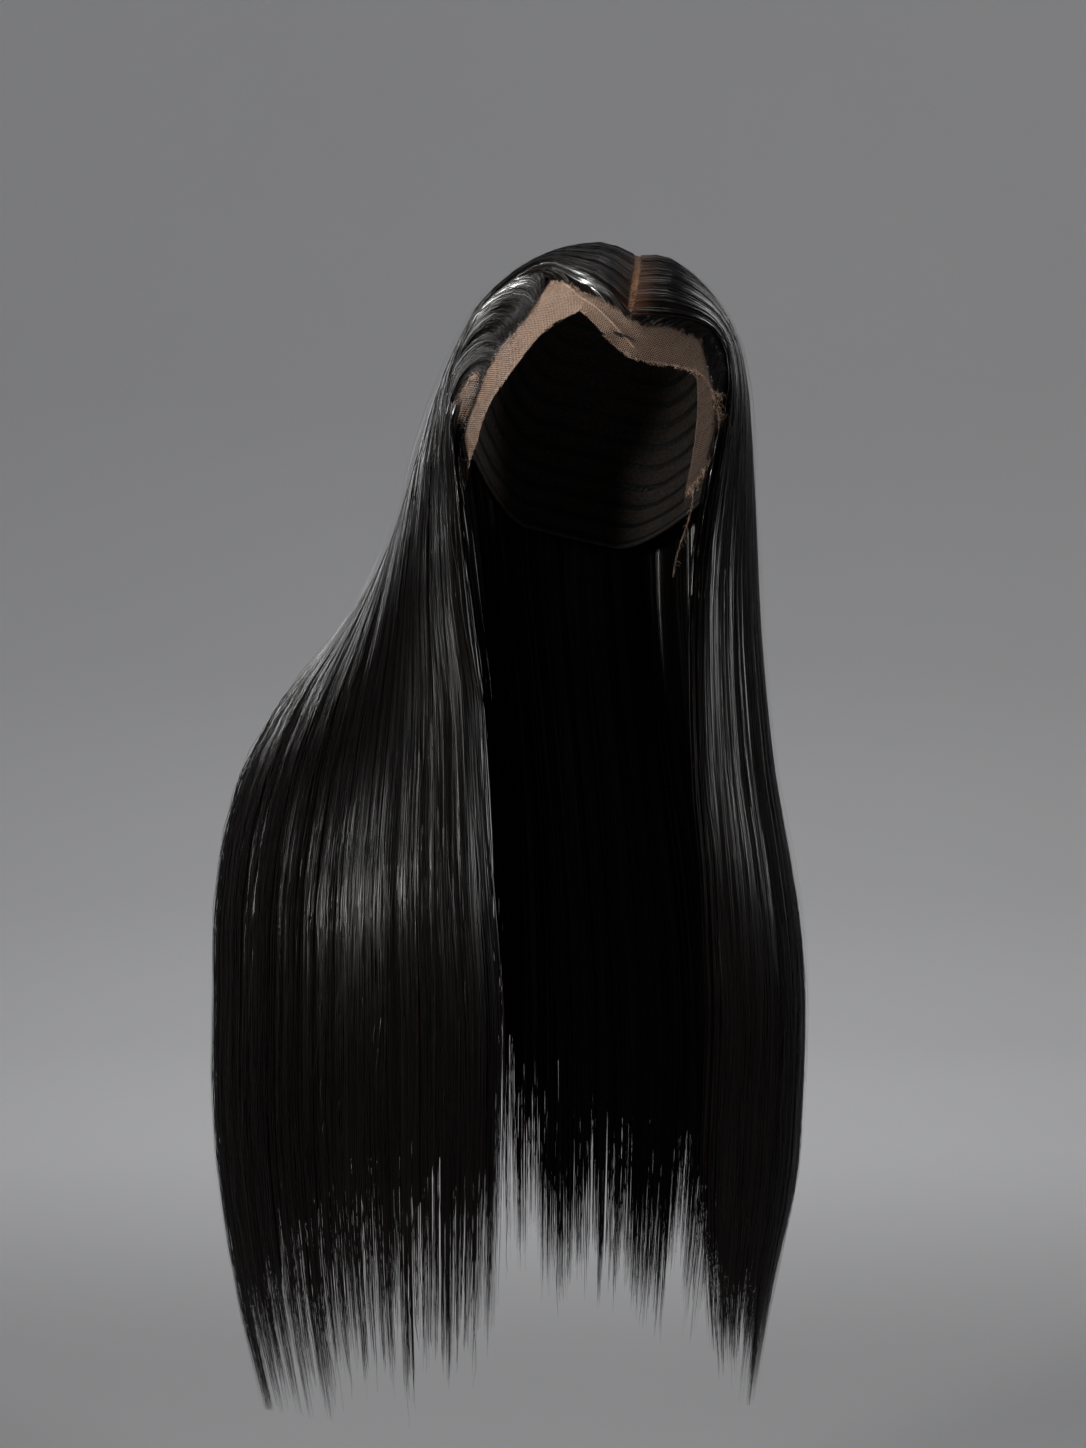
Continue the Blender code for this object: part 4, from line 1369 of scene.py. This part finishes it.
def make_falls(finishes):
    """The three great sheets of hair, each a closed body and thousands of single hairs."""
    for number, plan in enumerate(fall_plans()):
        source = np.random.default_rng(SEED + 20 + number)
        wide = lock_middles(WIDE_LOCKS, SEED + 100 + number)
        narrow = lock_middles(NARROW_LOCKS, SEED + 110 + number)
        body = hair_body(
            "hair_body_" + plan.name, plan.sheet, plan.body_ends, wide, finishes["sheet"]
        )
        keep_as_wig(body, "hair", *plan.nodes)
        centre, facing, share = fall_lines(plan, wide, narrow, source)
        hairs = hair_ribbons(
            "hair_strands_" + plan.name, centre, facing, share, HAIR_WIDTH, source,
            finishes["rooted"],
        )
        keep_as_wig(hairs, "hair")
        make_tip_hairs(plan, wide, narrow, source, finishes)
        make_stray_hairs(plan, source, finishes)


def wave(source, count, travel, amount, tip_amount, tip_start):
    """Small sideways waves along each hair, in shares of the sheet, stronger near the tip."""
    phase = source.uniform(0.0, 2.0 * math.pi, (count, 1))
    turns = source.uniform(0.6, 2.0, (count, 1))
    slow = amount * np.sin(phase + turns * 2.0 * math.pi * travel) * smooth(travel * 4.0)
    own = tip_amount * source.normal(0.0, 1.6, (count, 1))
    return slow + own * smooth((travel - tip_start) / (1.0 - tip_start)) * np.sin(phase + travel * 34.0)


def make_tip_hairs(plan, wide, narrow, source, finishes):
    """Fine kinked hairs among the tips."""
    count = TIP_HAIRS
    sheet = plan.sheet
    share = source.uniform(0.0, 1.0, count)
    last_row = tip_rows(plan, share, wide, narrow, source) + source.uniform(-12.0, 2.0, count)
    travel = np.linspace(0.0, 1.0, 12)[None]
    first_row = last_row - source.uniform(9.0, 27.0, count)
    row = mix(first_row[:, None], last_row[:, None], travel)
    line = drawn_together(share, row, last_row, wide, narrow, source)
    phase = source.uniform(0.0, 2.0 * math.pi, (count, 1))
    turns = source.uniform(1.0, 3.2, (count, 1))
    kink = source.uniform(0.0, 1.0, (count, 1)) ** 3.0 * 0.007 * smooth(travel * 1.5)
    line = line + kink * np.sin(phase + turns * 2.0 * math.pi * travel)
    lift = source.uniform(-0.003, 0.0012, (count, 1)) + 0.3 * kink * np.cos(phase + turns * 5.0 * travel)
    centre, facing = hair_lines(sheet.surface, line, row, lift)
    hairs = hair_ribbons(
        "tip_hairs_" + plan.name, centre, facing, share, FINE_HAIR_WIDTH * 1.7, source, finishes["hair"]
    )
    keep_as_wig(hairs, "hair")


def make_stray_hairs(plan, source, finishes):
    """Flyaways that stand a little off the sheet."""
    count = STRAY_HAIRS
    surface = plan.sheet.surface
    share = source.uniform(-0.005, 1.005, count)
    first_row = source.uniform(0.0, CROWN_ROWS + 24.0, count)
    last_row = np.minimum(first_row + source.uniform(6.0, 40.0, count), surface.last_row - 6.0)
    travel = np.linspace(0.0, 1.0, STRAND_STEPS)[None]
    row = mix(first_row[:, None], last_row[:, None], travel)
    height = source.uniform(0.0008, 0.0050, (count, 1))
    lift = 0.0004 + height * np.sin(travel * math.pi * source.uniform(0.5, 1.0, (count, 1)))
    line = share[:, None] + wave(source, count, travel, 0.009, 0.002, 0.6)
    centre, facing = hair_lines(surface, line, row, lift)
    strays = hair_ribbons(
        "stray_hairs_" + plan.name, centre, facing, share, FINE_HAIR_WIDTH, source, finishes["hair"]
    )
    keep_as_wig(strays, "hair")


def joining_hairs(surface, roots, root_rise, share, row, reach, join, steps, lift, ease=1.6):
    """Hairs that leave the net at their roots and bend into the flow of a sheet."""
    travel = np.linspace(0.0, 1.0, steps)[None]
    rows = row[:, None] + reach[:, None] * travel ** ease
    line = share[:, None] * smooth(0.25 + travel * 1.2)
    sink = lift[:, None] - 0.0014 * smooth((travel - 0.72) / 0.28)
    target, facing = hair_lines(surface, line, rows, sink)
    way, rise = above_head(target)
    joined = smooth(travel / join[:, None])
    way = unit(mix(roots[:, None], way, joined[..., None]))
    centre = on_head(way, mix(root_rise[:, None], rise, joined))
    outward = unit(on_head(way, 0.02) - on_head(way, 0.0))
    return centre, unit(mix(outward, facing, joined[..., None]))


class Temple:
    """One temple: its hairline and the rows of the sheet's front edge beside it.

    The rows start at a number of twelfths of the way over the crown.
    """

    def __init__(self, name, sheet, hairline, twelfths, node):
        self.name = name
        self.sheet = sheet
        self.hairline = np.array(hairline)
        self.rows = (twelfths / 12.0 * CROWN_ROWS, sheet.row_of(sheet.start + 0.085))
        self.node = node

    def roots(self, down, forward=0.0):
        """Directions on the hairline at shares of the way down, and a little before it."""
        flat = along(self.hairline, down)
        return direction(flat[:, 0] - forward * self.sheet.side, flat[:, 1])

    def edge_row(self, down):
        return mix(self.rows[0], self.rows[1], down)


def make_temple_body(temple, finishes):
    """Closed layer of hair between a temple hairline and the front edge of the top hair."""
    columns, rows = TEMPLE_GRID
    down, back = grid_shares(columns, rows)
    start = 0.10 + 0.07 * value_noise(down * 70.0, SEED + 70)
    travel = mix(start, 1.0, back).ravel()
    surface = temple.sheet.surface
    row = temple.edge_row(down.ravel())
    target, rise = above_head(surface.read(surface.points, np.full(down.size, 0.025), row))
    way = unit(mix(temple.roots(down.ravel()), target, travel[:, None]))
    top = mix(NET_WALL + 0.0004, np.minimum(rise, HAIR_BASE + TEMPLE_HAIR) - 0.0012, smooth(travel))
    top = top + 0.0002 * value_noise(down.ravel() * 60.0, SEED + 71)
    outer = on_head(way, np.maximum(top, NET_WALL + 0.0002))
    inner = on_head(way, NET_WALL * 0.7)
    flat = np.stack((down.ravel(), travel), axis=-1) * TEMPLE_MAP
    body = mesh_from_arrays(
        "temple_body_" + temple.name, np.concatenate((outer, inner)),
        slab_quads(columns, rows), np.concatenate((flat, flat)), finishes["sheet"],
    )
    keep_as_wig(body, "hair", temple.node)


def make_temple_hair(temple, finishes):
    """Hair combed back from the temple hairline into the top hair."""
    count = TEMPLE_HAIRS[temple.name]
    source = np.random.default_rng(SEED + 60 + len(temple.name))
    down = source.uniform(0.0, 1.0, count)
    forward = source.uniform(-5.0, 0.6, count)
    drift = value_noise(down * 9.0, SEED + 72)
    tuft = value_noise(down * 52.0, SEED + 73)
    low = smooth((down - 0.45) / 0.25)
    row = temple.edge_row(down) - 1.2 + 0.25 * drift + 0.30 * tuft + source.uniform(-0.10, 0.10, count)
    reach = 9.0 + 1.5 * drift + source.uniform(-2.0, 2.0, count)
    share = mix(0.045, 0.020, low) + 0.006 * drift + source.uniform(-0.012, 0.012, count)
    join = 0.62 + 0.02 * drift + source.uniform(-0.01, 0.01, count)
    lift = source.uniform(-0.0008, 0.0003, count) - 0.0035 * low + 0.0006 * tuft
    rise = NET_WALL + 0.0005 + np.maximum(-forward, 0.0) * 0.0004
    centre, facing = joining_hairs(
        temple.sheet.surface, temple.roots(down, forward), rise, share, row, reach, join, 13, lift
    )
    hairs = hair_ribbons(
        "temple_hairs_" + temple.name, centre, facing, down, HAIR_WIDTH * 0.85, source,
        finishes["hair"], 0.55, 44.0,
    )
    keep_as_wig(hairs, "hair")


def make_fringe(name, sheet, finishes):
    """Hairs rooted on the front hairline that rise and sweep over into the top hair."""
    count = FRINGE_HAIRS[name]
    source = np.random.default_rng(SEED + 80 + len(name))
    place = source.uniform(*FRINGE_SPANS[name], count)
    uneven = value_noise(place * 0.9, SEED + 82) * 1.1 + value_noise(place * 0.31, SEED + 84) * 0.8
    elevation = np.interp(place, FRONT_HAIRLINE[:, 0], FRONT_HAIRLINE[:, 1])
    elevation = elevation + uneven + source.uniform(-0.4, 3.0, count)
    roots = direction(place, elevation)
    edge_rows = np.linspace(0.0, CROWN_ROWS * 0.7, 60)
    surface = sheet.surface
    edge = above_head(surface.read(surface.points, np.full(60, 0.0), edge_rows))[0]
    row = edge_rows[np.argmax(roots @ edge.T, axis=1)]
    drift = value_noise(place * 0.16, SEED + 83)
    share = 0.055 + 0.012 * drift + source.uniform(-0.030, 0.030, count)
    reach = 7.0 + 0.8 * drift + source.uniform(-1.5, 1.5, count)
    join = 0.66 + 0.03 * drift + source.uniform(-0.02, 0.02, count)
    lift = source.uniform(-0.0006, 0.0004, count)
    rise = NET_WALL + 0.0006 + source.uniform(0.0, 0.0006, count)
    centre, facing = joining_hairs(surface, roots, rise, share, row, reach, join, 11, lift, 1.05)
    hairs = hair_ribbons(
        "fringe_" + name, centre, facing, place / 90.0, HAIR_WIDTH * 0.75, source,
        finishes["hair"], 0.45, 90.0,
    )
    keep_as_wig(hairs, "hair")


def make_slit_hairs_and_shade(finishes):
    """A few dark hairs caught in the slit beside the crease, which also paint shade into the slit under
    the crease's lip.
    """
    source = np.random.default_rng(SEED + 86)
    count = SLIT_SHADE_HAIRS
    travel = np.linspace(0.0, 1.0, 13)[None]
    start = np.array((-5.0, 26.6)) + source.normal(0.0, 0.22, (count, 2))
    end = np.array((9.5, 25.6)) + source.normal(0.0, 0.25, (count, 2))
    end = mix(start, end, source.uniform(0.45, 1.0, (count, 1)))
    path = mix(start[:, None], end[:, None], travel[..., None])
    bow = source.normal(0.0, 0.45, (count, 1))
    path[..., 1] += bow * np.sin(travel * math.pi * source.uniform(1.0, 6.0, (count, 1)))
    way = direction(path[..., 0], path[..., 1])
    rise = NET_WALL + 0.0011 + 0.0004 * source.uniform(-1.0, 1.0, (count, 1)) + crease_rise(way)
    centre = on_head(way, rise)
    hairs = hair_ribbons(
        "caught_hairs", centre, unit(centre), start[:, 0] / 90.0, HAIR_WIDTH * 0.6, source,
        finishes["hair"],
    )
    keep_as_wig(hairs, "hair")


def make_baby_hairs(finishes):
    """Short fine hairs on the lace in front of the hairline."""
    source = np.random.default_rng(SEED + 85)
    count = BABY_HAIRS
    hairline = np.concatenate((
        np.array(LEFT_HAIRLINE)[5:0:-1], FRONT_HAIRLINE, np.array(RIGHT_HAIRLINE)[1:6],
    ))
    flat = along(hairline, source.uniform(0.0, 1.0, count))
    inward = source.uniform(0.0, 1.0, count) ** 1.6 * 3.6 - 0.6
    middle = np.array((0.0, 12.0))
    toward = unit(middle - flat)
    start = flat + toward * inward[:, None]
    back = -toward + source.normal(0.0, 0.55, (count, 2))
    travel = np.linspace(0.0, 1.0, 9)[None, :, None]
    length = source.uniform(2.5, 7.0, (count, 1, 1))
    curl = source.normal(0.0, 0.6, (count, 1, 1)) * travel ** 2.0
    aside = np.stack((-back[:, 1], back[:, 0]), axis=-1)
    path = start[:, None] + (back[:, None] * travel + aside[:, None] * curl) * length
    bow = 0.0012 * np.sin(travel[..., 0] * math.pi) * source.uniform(0.0, 1.0, (count, 1))
    rise = NET_WALL + 0.0004 + bow
    way = direction(path[..., 0], path[..., 1])
    centre = on_head(way, rise + crease_rise(way))
    hairs = hair_ribbons(
        "baby_hairs", centre, unit(centre), flat[:, 0] / 90.0, FINE_HAIR_WIDTH * 0.8, source,
        finishes["fine"],
    )
    keep_as_wig(hairs, "hair")


def make_stage(finishes):
    """A pale floor that curves up all round."""
    points = []
    for radius, height in FLOOR_PROFILE:
        for side in range(FLOOR_SIDES):
            turn = 2.0 * math.pi * side / FLOOR_SIDES
            points.append((radius * math.cos(turn), radius * math.sin(turn), height - FLOOR_DROP))
    quads = []
    for low in range(0, len(points) - FLOOR_SIDES, FLOOR_SIDES):
        high = low + FLOOR_SIDES
        for side in range(FLOOR_SIDES):
            following = (side + 1) % FLOOR_SIDES
            quads.append((low + side, low + following, high + following, high + side))
    mesh = bpy.data.meshes.new("studio_floor")
    mesh.from_pydata(points, [], quads)
    mesh.shade_smooth()
    mesh.materials.append(finishes["studio"])
    floor = bpy.data.objects.new("studio_floor", mesh)
    bpy.context.scene.collection.objects.link(floor)


def add_light(name, place, target, size, power, spread=180.0, colour=(1.0, 1.0, 1.0)):
    data = bpy.data.lights.new(name, "AREA")
    data.shape = "RECTANGLE"
    data.size = size[0]
    data.size_y = size[1]
    data.energy = power
    data.spread = math.radians(spread)
    data.color = colour
    light = bpy.data.objects.new(name, data)
    light.location = place
    light.rotation_euler = (Vector(target) - Vector(place)).to_track_quat("-Z", "Y").to_euler()
    light.visible_camera = False
    bpy.context.scene.collection.objects.link(light)


def make_camera():
    """Level camera that frames the wig as the photograph does."""
    data = bpy.data.cameras.new("camera")
    data.sensor_width = SENSOR
    data.lens = SENSOR * CAMERA_DISTANCE / (PHOTO_HEIGHT * METRES_PER_PIXEL)
    data.clip_end = 30.0
    camera = bpy.data.objects.new("camera", data)
    camera.location = (
        (PHOTO_WIDTH / 2.0 - HEAD_PIXEL[0]) * METRES_PER_PIXEL,
        -CAMERA_DISTANCE,
        (HEAD_PIXEL[1] - PHOTO_HEIGHT / 2.0) * METRES_PER_PIXEL,
    )
    camera.rotation_euler = (math.radians(90.0), 0.0, 0.0)
    bpy.context.scene.collection.objects.link(camera)
    bpy.context.scene.camera = camera


def light_place(azimuth, elevation, distance):
    """A place round the wig: azimuth from the front towards +X, elevation and distance."""
    return tuple(direction(azimuth, elevation) * distance + np.array(WIG_MIDDLE))


def make_lights():
    """Soft lights round the wig, one on the backdrop and one on the floor, in a dim grey studio."""
    for name, (azimuth, elevation, distance, width, height, power, spread) in ROUND_LIGHTS.items():
        place = light_place(azimuth, elevation, distance)
        target = CROWN_MIDDLE if name == "crown" else WIG_MIDDLE
        colour = KEY_COLOUR if name == "key" else (1.0, 1.0, 1.0)
        add_light(name, place, target, (width, height), power, spread, colour)
    add_light("backdrop", (0.0, 1.0, 2.8), (0.0, 3.9, -0.4), (3.0, 1.0), 32.0)
    add_light("floor", (0.0, 2.2, 3.0), (0.0, 2.5, -0.7), (2.0, 1.0), 6.0, 60.0)
    world = bpy.data.worlds.new("studio")
    world.use_nodes = True
    sky = world.node_tree.nodes["Background"].inputs
    sky[0].default_value = SKY_COLOUR
    sky[1].default_value = SKY_STRENGTH
    bpy.context.scene.world = world
    bpy.context.scene.view_settings.view_transform = "Standard"


LEFT_SHEET = HairSheet(-1.0, LEFT_FALL, LEFT_SPREAD, middle_spread=0.38, sweep=LEFT_SWEEP)
RIGHT_SHEET = HairSheet(1.0, RIGHT_FALL, RIGHT_SPREAD, middle_spread=1.0, sweep=RIGHT_SWEEP)
BACK_SHEET = HairSheet(1.0, BACK_FALL, RIGHT_SPREAD, middle_spread=0.25)
LEFT_TEMPLE = Temple("left", LEFT_SHEET, LEFT_HAIRLINE, 6.0, "temple_hair_left")
RIGHT_TEMPLE = Temple("right", RIGHT_SHEET, RIGHT_HAIRLINE, 7.0, "temple_hair_right")

finishes = {
    "hair": hair_finish("black_hair", False),
    "rooted": hair_finish("rooted_hair", False, 1.0),
    "sheet": hair_finish("black_hair_sheet", True),
    "fine": fine_hair_finish(),
    "thread": thread_finish(),
    "film": film_finish(),
    "part": part_finish(),
    "cap": cap_finish(),
    "studio": studio_finish("studio_grey", FLOOR_COLOUR),
}

make_camera()
make_stage(finishes)
make_lights()
make_cap(finishes)
make_lace(finishes)
make_part(finishes)
make_falls(finishes)
for temple in (LEFT_TEMPLE, RIGHT_TEMPLE):
    make_temple_body(temple, finishes)
    make_temple_hair(temple, finishes)
make_fringe("left", LEFT_SHEET, finishes)
make_fringe("right", RIGHT_SHEET, finishes)
make_baby_hairs(finishes)
make_slit_hairs_and_shade(finishes)
